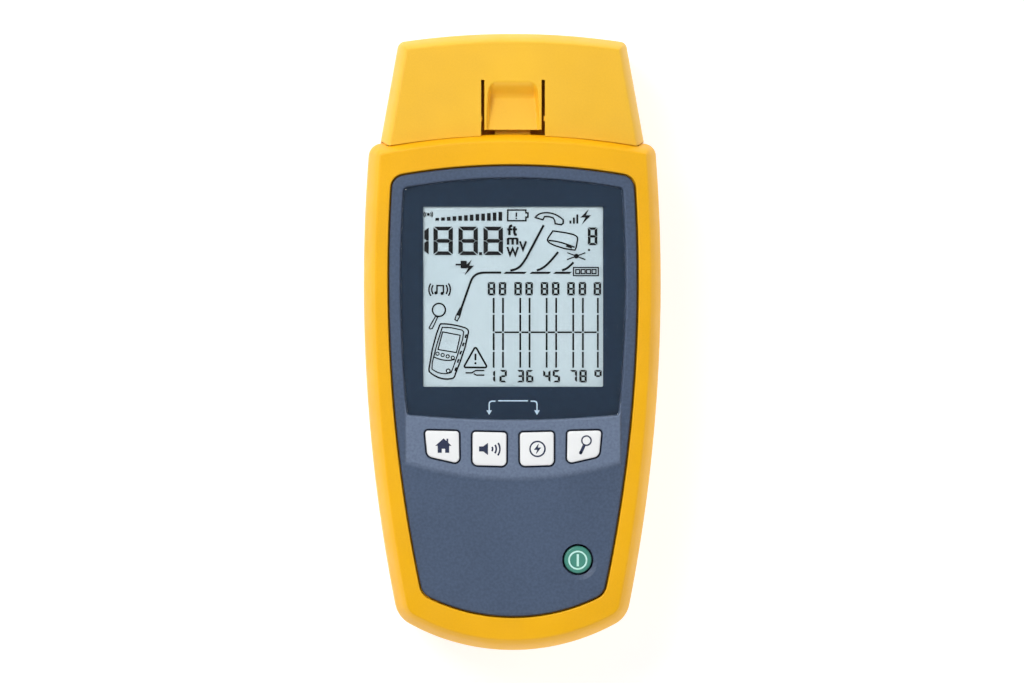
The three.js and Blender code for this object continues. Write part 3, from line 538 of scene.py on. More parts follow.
def moulded(name, colour, roughness, grain=0.45, grain_depth=0.012, mottle=0.05, speckle=0.04, gloss=0.4):
    """Moulded plastic: a fine spark-eroded grain, a slow drift of tone and a little wear in its gloss."""
    material, tree, shader = new_material(name)
    drift = spread(tree, noise(tree, 22), 0, 1)
    slow = between(tree, drift, scaled(colour, 1 - mottle), scaled(colour, 1 + mottle))
    grains = noise(tree, grain, 3)
    dark = between(tree, drift, scaled(colour, 1 - mottle - speckle), scaled(colour, 1 + mottle - speckle))
    tint = between(tree, spread(tree, grains, 0, 1, 0.35, 0.65), dark, slow)
    paint(tree, shader, tint, 6, roughness - 0.04, roughness + 0.06)
    shader.inputs["Specular IOR Level"].default_value = gloss
    bumped(tree, shader, grains, grain_depth)
    return material


def panel_plastic():
    """The panel's plastic: a coarser grain than the case's, and a painted sheen that makes the raised key
    band paler.
    """
    grain = 0.7
    material = moulded("panel_grey", srgb(77, 94, 121), 0.55, grain, grain_depth=0.025, speckle=0.2)
    tree = material.node_tree
    shader = tree.nodes["Principled BSDF"]
    panel = shader.inputs["Base Color"].links[0].from_socket
    grains = spread(tree, noise(tree, grain, 3), 0, 1)
    # Painted sheen: paler colours on the raised key band, standing in for the light its face catches.
    band = between(tree, grains, srgb(99, 114, 139), srgb(113, 129, 155))
    tone = tree.nodes.new("ShaderNodeAttribute")
    tone.attribute_name = "band_sheen"
    tree.links.new(between(tree, tone.outputs["Fac"], panel, band), shader.inputs["Base Color"])
    return material


def brushed_metal(name, colour, roughness):
    """Drawn or plated metal with fine scratches and uneven gloss."""
    material, tree, shader = new_material(name)
    shader.inputs["Metallic"].default_value = 1
    tint = mottled(tree, 1.5, scaled(colour, 0.82), scaled(colour, 1.08))
    paint(tree, shader, tint, 0.6, roughness, roughness + 0.18)
    bumped(tree, shader, noise(tree, 0.12, 4), 0.004)
    return material


def printed(name, colour, roughness, gloss=0.5):
    """A thin printed or liquid crystal mark, slightly uneven in density."""
    material, tree, shader = new_material(name)
    shader.inputs["Specular IOR Level"].default_value = gloss
    paint(tree, shader, mottled(tree, 0.8, colour, scaled(colour, 1.25)), 2, roughness, roughness + 0.1)
    return material


def clear_acrylic():
    """The display lens: clear and glossy, with faintly rubbed patches."""
    material, tree, shader = new_material("clear_acrylic")
    shader.inputs["Transmission Weight"].default_value = 1
    shader.inputs["IOR"].default_value = 1.49
    shader.inputs["Base Color"].default_value = srgb(250, 253, 255)
    tree.links.new(spread(tree, noise(tree, 9), 0.0, 0.03), shader.inputs["Roughness"])
    return material


def display_glass():
    """The display's pale reflector: faintly blue-green, with a soft drift and a fine reflector grain."""
    material, tree, shader = new_material("display_glass")
    cool, warm = srgb(180, 195, 200), srgb(190, 202, 205)
    drift = between(tree, spread(tree, noise(tree, 30, 1), 0, 1), cool, warm)
    paint(tree, shader, mottled(tree, 0.25, scaled(cool, 0.94), drift), 4, 0.32, 0.42)
    bumped(tree, shader, noise(tree, 0.2), 0.003)
    return material


def circuit_board():
    """Solder mask with copper tracks that show through it as paler lines."""
    material, tree, shader = new_material("circuit_board")
    place = tree.nodes.new("ShaderNodeTexCoord")
    tracks = tree.nodes.new("ShaderNodeTexBrick")
    tracks.inputs["Scale"].default_value = 1 / (6 * MM)
    tracks.inputs["Mortar Size"].default_value = 0.04
    tracks.inputs["Color1"].default_value = srgb(22, 92, 58)
    tracks.inputs["Color2"].default_value = srgb(26, 84, 52)
    tracks.inputs["Mortar"].default_value = srgb(84, 138, 92)
    tree.links.new(place.outputs["Object"], tracks.inputs["Vector"])
    paint(tree, shader, mottled(tree, 3, tracks.outputs["Color"], srgb(24, 96, 60)), 5, 0.3, 0.45)
    bumped(tree, shader, tracks.outputs["Fac"], 0.03)
    return material


def cell_wrap():
    """A battery's shrink-wrapped sleeve: dark with a copper-coloured end, and a little scuffed."""
    material, tree, shader = new_material("cell_wrap")
    place = tree.nodes.new("ShaderNodeTexCoord")
    split = tree.nodes.new("ShaderNodeSeparateXYZ")
    tree.links.new(place.outputs["Object"], split.inputs["Vector"])
    copper_end, blur = -21 * MM, 0.2 * MM
    band = spread(tree, split.outputs["Y"], 0, 1, copper_end - blur, copper_end + blur)
    tint = between(tree, band, srgb(52, 57, 64), srgb(186, 118, 62))
    worn = between(tree, spread(tree, noise(tree, 2.5), 0, 0.12), tint, srgb(96, 92, 88))
    paint(tree, shader, worn, 3, 0.2, 0.34)
    bumped(tree, shader, noise(tree, 0.9), 0.008)
    return material


YELLOW = moulded("case_yellow", srgb(253, 186, 0), 0.46, gloss=0.4)
# A paler copy of the case's yellow: a painted sheen, standing in for the light the adapter's face catches.
ADAPTER_SHEEN_YELLOW = moulded("adapter_yellow", srgb(253, 196, 46), 0.46, gloss=0.5)
PANEL_GREY = panel_plastic()
KEY_WHITE = moulded("key_white", srgb(248, 250, 251), 0.38, grain_depth=0.003, mottle=0.012, speckle=0.008)
POWER_GREEN = moulded("power_green", srgb(78, 150, 134), 0.34, grain_depth=0.004, mottle=0.03)
BLACK = moulded("black_plastic", srgb(34, 35, 39), 0.5)
DARK_RUBBER = moulded("dark_rubber", srgb(50, 58, 78), 0.7, grain=0.3)
DIFFUSER = moulded("white_diffuser", srgb(238, 240, 240), 0.4, mottle=0.02)
NAVY = printed("lens_navy", srgb(18, 36, 54), 0.5, gloss=0.15)
SEGMENT = printed("display_segment", srgb(7, 8, 11), 0.5, gloss=0.15)
KEY_PRINT = printed("key_print", srgb(32, 42, 72), 0.5)
MINT = printed("power_print", srgb(196, 246, 228), 0.4)
PALE_PRINT = printed("lens_print", srgb(176, 196, 210), 0.5)
STEEL = brushed_metal("steel", srgb(196, 198, 202), 0.24)
SCREW_STEEL = brushed_metal("screw_steel", srgb(70, 72, 78), 0.3)
GOLD = brushed_metal("contact_gold", srgb(222, 184, 96), 0.22)
CLEAR = clear_acrylic()
GLASS = display_glass()
BOARD = circuit_board()
WRAP = cell_wrap()


# ---------- the yellow case ----------

def rings_of(spec, levels):
    """Rings for loft from (inset, height) pairs of one outline."""
    return [(outline(spec, inset), z) for inset, z in levels]


def front_shell():
    """The yellow frame: up its outer wall, over its lip, and down inside by way of the ledge."""
    frame_mesh = loft("front_shell", [
        *rings_of(CASE, WALL_RIM + smooth(WALL_UP)),
        *rings_of(PANEL, smooth(PANEL_EDGE, 3)),
        *rings_of(PANEL, LEDGE_RINGS),
        *rings_of(CASE, WALL_DOWN),
    ], looped=True)
    dock = block(-DOCK.half_width, DOCK.half_width, DOCK.start, CASE.top + 9, PARTING - 1, DOCK.high)
    combined(frame_mesh, "DIFFERENCE", dock)
    piece(frame_mesh, "case_front", "tester", YELLOW, ["front_shell"])


def grip_depth(y, z):
    """How far a finger scallop presses the rear shell's side in."""
    nearest = min(abs(y - GRIP.first - i * GRIP.pitch) for i in range(GRIP.count))
    off = (nearest / GRIP.half_length) ** 2 + ((z - GRIP.z) / GRIP.half_height) ** 2
    return GRIP.depth * max(1 - off, 0) ** 1.3


def pressed(points, z):
    """An outline with its sides, but not its ends, pressed in by the finger scallops."""
    ends = 25  # half the width that is left alone
    return [p - math.copysign(grip_depth(p.imag, z), p.real) if abs(p.real) > ends else p for p in points]


def rear_levels():
    """The rear shell's outer profile, with extra rings where the scallops are."""
    curve = smooth(REAR_OUTER, 6)
    insets, heights = zip(*curve)
    extra = [z for z in np.arange(2.0, 17.0, 0.6) if min(abs(z - h) for h in heights) > 0.2]
    return [(float(np.interp(z, heights, insets)), float(z)) for z in sorted([*heights, *extra])]


def rear_case():
    """The back half: its bay, ledge and bosses are added first, and every opening is cut last."""
    levels = rear_levels()
    shell = loft("rear_case", [
        *((pressed(outline(CASE, inset), z), z) for inset, z in levels),
        *rings_of(CASE, REAR_INNER),
    ])
    reach_x = BAY.half_width + BAY.wall
    # Each of these starts inside the floor or the ledge, at its own height, so that no two faces coincide.
    inside = [
        block(-reach_x, reach_x, BAY.bottom - BAY.wall, BAY.top + BAY.wall, 1.5, BAY.roof + BAY.roof_wall),
        block(-LEDGE.half_width, LEDGE.half_width, LEDGE.bottom, LEDGE.top, 1.4, LEDGE.high),
        rod(complex(0, DOOR_SCREW.y), LEDGE.low, 10, BOSS.door),
    ]
    screws = [flat_middle(f"case_screw_{i}") for i in range(1, 5)]
    inside += [rod(centre, 1.6, PARTING_LOW - 0.1, BOSS.case) for centre in screws]
    combined(shell, "UNION", *inside)
    opening = rounded(
        rectangle(-DOOR.half_width - GAP, DOOR.half_width + GAP, DOOR.bottom - GAP, DOOR.top + GAP),
        [DOOR.corner, DOOR.corner, DOOR.upper_corner, DOOR.upper_corner],
    )
    cuts = [
        block(-BAY.half_width, BAY.half_width, BAY.bottom, BAY.top, 0.5, BAY.roof),
        slab(opening, -1, LEDGE.low),
        rod(complex(0, DOOR_SCREW.y), 0, 9, 2),
        block(-DOCK.half_width, DOCK.half_width, DOCK.start, CASE.top + 9, DOCK.low, PARTING + 1),
    ]
    for side in (-1, 1):
        near, far = span(side, TAB.start - GAP, TAB.end + GAP)
        cuts.append(block(near, far, BAY.top - 1, DOOR.top + TAB.reach + 0.5, LEDGE.low - 0.1, 5.2))
    for centre in screws:
        cuts.append(screw_way(centre, SCREW_WAY.case_seat, SCREW_WAY.case_head + GAP, 0))
    combined(shell, "DIFFERENCE", *cuts)
    piece(shell, "case_rear", "tester", YELLOW, ["rear_case"])


def screw_way(centre, seat, radius, surface):
    """A counterbore with a small lead-in at the surface, and the shaft's clearance hole above it."""
    shaft = SCREW_WAY.shaft + GAP
    profile = [
        (radius + 0.5, surface - 1), (radius + 0.5, surface - 0.01), (radius, surface + 0.45),
        (radius, seat), (shaft, seat), (shaft, PARTING + 1),
    ]
    return turned("screw_way", profile, centre, 40)


# ---------- the front panel ----------

KEYS = [
    Sizes(name="home", corners=mirrored(OUTER_KEY), radii=OUTER_RADII[::-1]),
    Sizes(name="tone", corners=mirrored(INNER_KEY), radii=INNER_RADII[::-1]),
    Sizes(name="supply", corners=INNER_KEY, radii=INNER_RADII),
    Sizes(name="search", corners=OUTER_KEY, radii=OUTER_RADII),
]


def key_outline(key, distance):
    """A key's outline grown by a distance."""
    return rounded(grown(key.corners, distance), [r + distance for r in key.radii])


def signed_distance(points, loop):
    """The distance of each point from a closed loop, negative inside it."""
    p = np.array(points)[:, None]
    a = np.array(loop)[None, :]
    b = np.roll(a, -1, axis=1)
    edge = b - a
    t = np.clip(((p - a) * edge.conj()).real / np.abs(edge) ** 2, 0, 1)
    nearest = np.abs(p - a - t * edge).min(axis=1)
    above = (a.imag > p.imag) != (b.imag > p.imag)
    rise = np.where(above, edge.imag, 1)
    crosses = above & (p.real < edge.real * (p.imag - a.imag) / rise + a.real)
    inside = crosses.sum(axis=1) % 2 == 1
    return np.where(inside, -nearest, nearest)


def rounding(radius, distance):
    """How far a rounded edge drops, at each distance from the edge."""
    return radius - np.sqrt(np.clip(radius**2 - np.clip(radius - distance, 0, radius) ** 2, 0, None))


def band_rise(points):
    """How far up the key band each point is: 0 on the panel, 1 on the band, with soft edges between."""
    p = np.array(points)
    from_arc = (BAND.radius - np.abs(p - complex(0, BAND.bottom + BAND.radius))) / BAND.softness
    from_side = (BAND.half_width - np.abs(p.real)) / BAND.side_softness
    t = np.where(p.imag > BAND.top, 0, np.clip(np.minimum(from_arc, from_side), 0, 1))
    return t * t * (3 - 2 * t)


def band_lines():
    """Lines across the band's soft lower edge and its soft sides."""
    lines = []
    for i in range(9):
        radius = BAND.radius - BAND.softness * i / 8
        centre = complex(0, BAND.bottom + BAND.radius)
        half = math.asin((BAND.half_width - BAND.side_softness * i / 8) / radius)
        lower = arc(centre, radius, -math.pi / 2 - half, -math.pi / 2 + half, 48)
        right = centre + cmath.rect(radius, -math.pi / 2 + half)
        top = complex(right.real, BAND.top)
        lines.append([-top.conjugate(), *lower, right, top])
    return lines


def panel_loops():
    """Loops along everything that changes the panel's height."""
    fillets = [EDGE_ROUND * (1 - math.cos(math.pi / 2 * i / 5)) for i in range(6)]
    loops = [outline(PANEL, f) for f in fillets]
    loops += [outline(LENS, -LENS_MARGIN - f) for f in fillets] + [outline(LENS, WALL_LEAN - LENS_MARGIN)]
    for key in KEYS:
        loops += [key_outline(key, KEY.clearance + f * HOLE_SHARE) for f in fillets]
    dish_steps = 9
    for i in range(dish_steps):
        radius = POWER.floor + (POWER.dish - POWER.floor) * i / (dish_steps - 1)
        loops.append(circle(POWER.centre + POWER.dish_offset, radius, 64))
    return loops


def triangulated(loops, lines):
    """Flat points and triangles whose edges follow closed loops and open lines."""
    points, edges = [], []
    for loop in loops:
        start = len(points)
        points += loop
        edges += [(start + i, start + (i + 1) % len(loop)) for i in range(len(loop))]
    for line in lines:
        start = len(points)
        points += line
        edges += [(start + i, start + i + 1) for i in range(len(line) - 1)]
    flat, _, triangles, *_ = delaunay_2d_cdt([Vector((p.real, p.imag)) for p in points], edges, [], 0, 1e-5)
    return [complex(*p) for p in flat], triangles


def panel_height(flat, rim, key_holes):
    """The height of the panel's upper side at each flat point."""
    z = PANEL_Z.top + (PANEL_Z.band - PANEL_Z.top) * band_rise(flat)
    z -= rounding(EDGE_ROUND, -signed_distance(flat, rim))
    from_seat = signed_distance(flat, outline(LENS, -LENS_MARGIN))
    z -= rounding(EDGE_ROUND, np.maximum(from_seat, 0))
    for hole in key_holes:
        z -= rounding(EDGE_ROUND * HOLE_SHARE, np.maximum(signed_distance(flat, hole), 0))
    from_power = np.abs(np.array(flat) - POWER.centre - POWER.dish_offset)
    t = np.clip((from_power - POWER.floor) / (POWER.dish - POWER.floor), 0, 1)
    z -= POWER.depth * (1 - t)
    return np.where(from_seat < -WALL_LEAN / 2, PANEL_Z.seat, z)


def front_panel():
    """The panel's upper side is one sheet of flat triangles, lifted to its height point by point."""
    rim = outline(PANEL)
    key_holes = [key_outline(key, KEY.clearance) for key in KEYS]
    power_hole = circle(POWER.centre, POWER.hole, 64)
    window = rectangle(-LCD.half_width, LCD.half_width, LCD.bottom - LCD.clearance, LCD.top + LCD.clearance)
    flat, triangles = triangulated([*panel_loops(), window], band_lines())
    centres = [sum(flat[i] for i in t) / 3 for t in triangles]
    keep = signed_distance(centres, rim) < 0
    for hole in [*key_holes, power_hole, window]:
        keep &= signed_distance(centres, hole) > 0
    triangles = [t for t, kept in zip(triangles, keep) if kept]
    height = panel_height(flat, rim, key_holes)
    panel = closed_sheet("front_panel", flat, height, PANEL_Z.bottom, triangles)
    # How much of the band's painted sheen each point gets, from 0 off the band to 1 on it.
    tone = panel.data.attributes.new("band_sheen", "FLOAT", "POINT")
    tone.data.foreach_set("value", band_rise([complex(*v.co.xy) for v in panel.data.vertices]))
    piece(panel, "front_panel_cover", "tester", PANEL_GREY, ["front_panel"])


def closed_sheet(name, flat, top, bottom, triangles):
    """A solid between a shaped top and a flat underside, from one flat triangulation."""
    used = sorted({i for t in triangles for i in t})
    index = {old: new for new, old in enumerate(used)}
    count = len(used)
    vertices = [(flat[i].real, flat[i].imag, float(top[i])) for i in used]
    vertices += [(flat[i].real, flat[i].imag, bottom) for i in used]
    upper = [tuple(index[i] for i in t) for t in triangles]
    faces = upper + [tuple(i + count for i in reversed(t)) for t in upper]
    sides = {}
    for a, b, c in upper:
        for edge in ((a, b), (b, c), (c, a)):
            if edge[::-1] in sides:
                del sides[edge[::-1]]
            else:
                sides[edge] = True
    faces += [(b, a, a + count, b + count) for a, b in sides]
    return mesh_object(name, vertices, faces)


def seal(outer, inner, top):
    """A sleeve whose top slopes down inwards."""
    levels = [(outer, SEAL.bottom), (outer, top), (inner, top - SEAL.slope), (inner, SEAL.bottom)]
    return loft("seal", levels, looped=True)


def key_seals():
    """A dark rubber sleeve in each key hole, which shows as the line round the key."""
    rings = []
    for key in KEYS:
        outer = key_outline(key, KEY.clearance - SEAL.outer_play)
        rings.append(seal(outer, key_outline(key, SEAL.inner_play), SEAL.key_top))
    outer = circle(POWER.centre, POWER.hole - SEAL.outer_play)
    rings.append(seal(outer, circle(POWER.centre, POWER.radius + SEAL.inner_play), SEAL.power_top))
    piece(joined("key_seals", rings), "key_seals", "tester", DARK_RUBBER)


# ---------- flat marks: display segments and printed signs ----------

class Marks:
    """Thin solid marks, drawn with (across, down) places that one function turns into X and Y."""

    def __init__(self, place, z0, z1):
        self.place, self.z0, self.z1 = place, z0, z1
        self.vertices, self.faces = [], []

    def add(self, points):
        """Adds the points at both heights, and returns where they start and how many they are."""
        start = len(self.vertices)
        flat = [self.place(p) for p in points]
        self.vertices += [(p.real, p.imag, z) for z in (self.z0, self.z1) for p in flat]
        return start, len(points)

    def fill(self, points):
        """A filled polygon."""
        start, count = self.add(points)
        self.faces.append(tuple(range(start, start + count))[::-1])
        self.faces.append(tuple(range(start + count, start + 2 * count)))
        for i in range(count):
            j = (i + 1) % count
            self.faces.append((start + i, start + j, start + count + j, start + count + i))

    def disc(self, centre, radius):
        self.fill(circle(centre, radius, 28))

    def ring(self, centre, radius, width, steps=40):
        self.line(circle(centre, radius, steps), width, closed=True)

    def line(self, points, width, closed=False):
        """A line of one width along points, with mitred corners."""
        count = len(points)
        offsets = []
        for i, p in enumerate(points):
            before = p - points[i - 1] if i or closed else None
            after = points[(i + 1) % count] - p if i < count - 1 or closed else None
            before = (before or after) / abs(before or after)
            after = (after or before) / abs(after or before)
            normal = (before + after) * 1j
            normal /= abs(normal)
            mitre = max((normal * (before * 1j).conjugate()).real, 0.4)
            offsets.append(normal * width / 2 / mitre)
        left = [p + o for p, o in zip(points, offsets)]
        right = [p - o for p, o in zip(points, offsets)]
        start, total = self.add(left + right)
        low_left, low_right = start, start + count
        high_left, high_right = start + total, start + total + count
        for i in range(count if closed else count - 1):
            j = (i + 1) % count
            self.faces += [
                (high_left + i, high_right + i, high_right + j, high_left + j),
                (low_left + j, low_right + j, low_right + i, low_left + i),
                (low_left + i, high_left + i, high_left + j, low_left + j),
                (low_right + j, high_right + j, high_right + i, low_right + i),
            ]
        if not closed:
            e = count - 1
            self.faces.append((low_left, low_right, high_right, high_left))
            self.faces.append((low_left + e, high_left + e, high_right + e, low_right + e))

    def solid(self, name):
        return mesh_object(name, self.vertices, self.faces)


SEGMENTS = {
    "1": "bc", "2": "abdeg", "3": "abcdg", "4": "bcfg", "5": "acdfg", "6": "acdefg", "7": "abc",
    "8": "abcdefg", "o": "abfg",
}


def digit(marks, corner, width, height, thick, shown="8"):
    """A seven-segment digit whose top left corner is at corner, with mitred segments."""
    gap, bar, half = thick * 0.07, thick * 0.86, height / 2
    level = [
        complex(3 * gap, 0), complex(width - 3 * gap, 0),
        complex(width - thick - gap, bar), complex(thick + gap, bar),
    ]
    upright = [
        complex(0, 3 * gap), complex(thick, bar + gap), complex(thick, half - bar / 2 - gap),
        complex(thick / 2, half - gap), complex(0, half - gap),
    ]
    centre_bar = [
        complex(thick / 2 + gap, half), complex(thick + gap, half - bar / 2),
        complex(width - thick - gap, half - bar / 2), complex(width - thick / 2 - gap, half),
        complex(width - thick - gap, half + bar / 2), complex(thick + gap, half + bar / 2),
    ]
    segments = {
        "a": (level, False, False), "d": (level, False, True), "g": (centre_bar, False, False),
        "f": (upright, False, False), "b": (upright, True, False),
        "e": (upright, False, True), "c": (upright, True, True),
    }
    for letter in SEGMENTS[shown]:
        points, flip_x, flip_y = segments[letter]
        marks.fill([
            corner + complex(width - p.real if flip_x else p.real, height - p.imag if flip_y else p.imag)
            for p in points
        ])


def curve(a, b, c, d, steps=12):
    """A Bezier curve."""
    ts = [i / steps for i in range(steps + 1)]
    return [a * (1 - t) ** 3 + 3 * b * t * (1 - t) ** 2 + 3 * c * t * t * (1 - t) + d * t**3 for t in ts]


THIN, MEDIUM = 0.38, 0.48  # line widths of the display's signs


def digits_and_units(marks):
    """The length read-out, its units, and the port number."""
    big = Sizes(width=5.05, height=7.42, pitch=6.54, thick=1.12, top=5.3)
    digit(marks, complex(-3.3, big.top), big.width, big.height, big.thick, "1")
    for i in range(3):
        digit(marks, complex(3.0 + i * big.pitch, big.top), big.width, big.height, big.thick)
    marks.fill(rectangle(14.9, 15.7, 11.95, 12.7))
    digit(marks, 43.35 + 5.5j, 2.5, 4.65, 0.72)
    marks.disc(43.65 + 11.4j, 0.3)

    heavy, light = 0.64, 0.54  # line widths of the unit letters
    marks.line([22.85 + 7.5j, 22.85 + 5.8j, 23.05 + 5.15j, 23.6 + 5.0j], heavy)
    marks.line([22.3 + 6.0j, 23.6 + 6.0j], light)
    marks.line([24.15 + 5.2j, 24.15 + 6.9j, 24.35 + 7.35j, 24.8 + 7.4j], heavy)
    marks.line([23.7 + 6.0j, 24.85 + 6.0j], light)
    for x in (22.5, 23.7, 24.9):
        marks.line([complex(x, 10.0), complex(x, 8.3)], heavy)
    marks.line([22.4 + 8.4j, 25.0 + 8.4j], 0.52)
    marks.line([22.3 + 10.6j, 23.0 + 12.7j, 23.7 + 11.0j, 24.4 + 12.7j, 25.1 + 10.6j], light)
    marks.line([25.6 + 9.1j, 26.4 + 11.3j, 27.2 + 9.1j], light)


def wire_map(marks):
    """Nine numbered wires with break, cross and short segments, and a digit above each."""
    breaks = [23.7, 28.1, 32.9, 37.8, 42.35]
    cross = breaks[2]
    gap = 0.2
    wires = [18.73, 21.17, 25.68, 28.12, 32.58, 35.07, 39.53, 42.06, 45.97]
    for i, (x, shown) in enumerate(zip(wires, "12364578o")):
        for start, end in zip(breaks, breaks[1:]):
            marks.line([complex(x, start + gap), complex(x, end - gap)], 0.46)
        digit(marks, complex(x - (0.9 if shown != "1" else 1.5), 42.75), 1.9, 3.25, 0.56, shown)
        outward = 0.6 if i % 2 == 0 and i < 8 else 0.15
        digit(marks, complex(x - 0.95 - outward, 19.8), 1.95, 3.45, 0.58)
    for a, b in zip(wires, wires[1:]):
        marks.line([complex(a + 0.32, cross), complex(b - 0.32, cross)], 0.42)


def cable_and_ends(marks):
    """The cable from the tester to its far end, with its branches and its two plugs."""
    cable = [10.2 + 26.9j, 12.4 + 20.6j] + curve(12.9 + 19.3j, 13.5 + 17.9j, 14.6 + 17.35j, 16.4 + 17.3j)
    marks.line([*cable, 20.7 + 17.3j], 0.56)
    for start, end in ((21.3, 27.4), (28.1, 33.8), (34.3, 39.2)):
        marks.fill([
            complex(start, 17.62), complex(start + 0.6, 17.08),
            complex(end, 17.08), complex(end - 0.6, 17.62),
        ])
    marks.line(curve(23.1 + 16.75j, 25.4 + 16.4j, 25.9 + 15.6j, 27.3 + 13.4j) + [31.8 + 4.9j], 0.58)
    marks.line(curve(30.0 + 16.7j, 32.0 + 16.3j, 33.4 + 14.6j, 35.6 + 11.9j), 0.58)
    marks.line(curve(36.6 + 16.7j, 37.8 + 16.4j, 38.5 + 15.8j, 39.6 + 14.6j), 0.58)
    marks.fill([9.9 + 26.4j, 10.6 + 26.7j, 10.05 + 28.7j, 8.85 + 28.4j])
    marks.line([8.95 + 28.4j, 8.6 + 29.6j, 9.2 + 29.95j, 9.9 + 28.7j], 0.3)
    marks.line(rectangle(39.6, 46.1, 15.95, 18.1), 0.3, closed=True)
    for i in range(4):
        x = 40.2 + i * 1.42
        marks.line(rectangle(x, x + 1.02, 16.5, 17.55), 0.3, closed=True)


def waves(marks, centre, radii, turns, steps, width):
    """Waves to the left and the right of a place, from one angle to another."""
    for side in (math.pi, 0):
        for radius in radii:
            marks.line(arc(centre, radius, side + turns[0], side + turns[1], steps), width)


def signal_and_battery(marks):
    """The top row: a transmitter, its strength, the battery, and the far end's strength."""
    marks.disc(1.65 + 2.1j, 0.38)
    waves(marks, 1.65 + 2.1j, (0.75, 1.15), (-0.7, 0.85), 8, 0.24)
    for i in range(12):
        x = 3.5 + i * 1.5
        marks.fill(rectangle(x, x + 0.95, 3.75 - 0.6 - 1.7 * (i + 1) / 12, 3.75))
    battery = [
        22.4 + 0.95j, 27.15 + 0.95j, 27.15 + 1.7j, 27.7 + 1.7j,
        27.7 + 2.8j, 27.15 + 2.8j, 27.15 + 3.75j, 22.4 + 3.75j,
    ]
    marks.line(battery, THIN, closed=True)
    marks.line([24.65 + 1.6j, 24.65 + 2.7j], THIN)
    marks.disc(24.65 + 3.15j, 0.2)
    for i in range(3):
        marks.line([complex(38.8 + i * 0.9, 4.5), complex(38.8 + i * 0.9, 3.7 - 0.8 * i)], 0.5)


def far_end_icons(marks):
    """What a cable may end in: a telephone, a switch and a network node."""
    handset = curve(29.6 + 2.9j, 30.6 + 1.2j, 34.4 + 1.0j, 36.9 + 3.5j)
    handset += [36.9 + 4.4j, 36.4 + 4.8j, 34.8 + 4.5j, 34.7 + 3.7j]
    handset += curve(34.3 + 3.0j, 33.2 + 2.6j, 32.6 + 2.6j, 32.0 + 2.7j) + [31.6 + 3.5j]
    marks.line(handset, THIN, closed=True)
    case = [34.2 + 6.4j, 37.6 + 6.9j] + curve(39.4 + 7.3j, 40.6 + 7.8j, 40.8 + 8.0j, 40.6 + 9.0j, 6)
    case += [40.3 + 10.7j] + curve(40.0 + 11.4j, 39.4 + 11.4j, 38.4 + 11.2j, 37.2 + 11.0j, 6)
    case += [34.6 + 10.2j] + curve(33.4 + 9.6j, 32.7 + 9.1j, 32.7 + 8.8j, 33.0 + 8.2j, 6)
    marks.line(case, THIN, closed=True)
    marks.line(curve(33.1 + 8.9j, 35.3 + 9.0j, 37.5 + 9.7j, 39.9 + 10.7j), THIN)
    marks.line([37.7 + 10.3j, 39.2 + 10.8j], 0.5)
    marks.disc(40.35 + 13.0j, 0.62)
    for end in (38.0 + 12.1j, 37.9 + 13.9j, 42.7 + 12.1j, 42.7 + 13.9j):
        marks.line([40.35 + 13.0j, end], 0.3)


def power_tone_and_warning(marks):
    """Lightning bolts, a plug, a note with sound waves, a magnifier and a warning triangle."""
    bolt = [43.6 + 0.7j, 41.4 + 2.9j, 42.7 + 2.9j, 41.7 + 4.8j, 44.2 + 2.3j, 42.9 + 2.3j]
    marks.fill(bolt)
    marks.fill([p - 30.6 + 13.2j for p in bolt])
    marks.line([8.8 + 15.2j, 10.2 + 15.2j], MEDIUM)
    marks.fill(rectangle(10.1, 11.7, 14.2, 16.2))
    marks.line([3.9 + 22.8j, 3.9 + 20.7j, 5.6 + 20.7j, 5.6 + 22.6j], THIN)
    marks.disc(3.6 + 22.6j, 0.42)
    marks.disc(5.25 + 22.75j, 0.42)
    waves(marks, 4.6 + 21.75j, (2.05, 2.8), (-0.62, 0.74), 10, THIN)
    marks.ring(4.42 + 27.05j, 1.7, THIN)
    marks.line([3.55 + 28.7j, 4.1 + 28.95j, 2.7 + 31.9j, 2.1 + 32.05j, 1.85 + 31.7j], 0.3, closed=True)
    warning = rounded([10.85 + 42.1j, 13.97 + 36.6j, 17.1 + 42.1j], [0.35] * 3)
    marks.line(warning, MEDIUM, closed=True)
    marks.line([13.97 + 38.5j, 13.97 + 40.2j], MEDIUM)
    marks.disc(13.97 + 41.0j, 0.28)
    marks.line([11.4 + 43.5j, 13.0 + 43.5j, 14.0 + 42.9j, 16.3 + 42.9j], 0.34)
    marks.line([13.5 + 43.7j, 14.2 + 44.1j, 16.3 + 44.1j], 0.34)


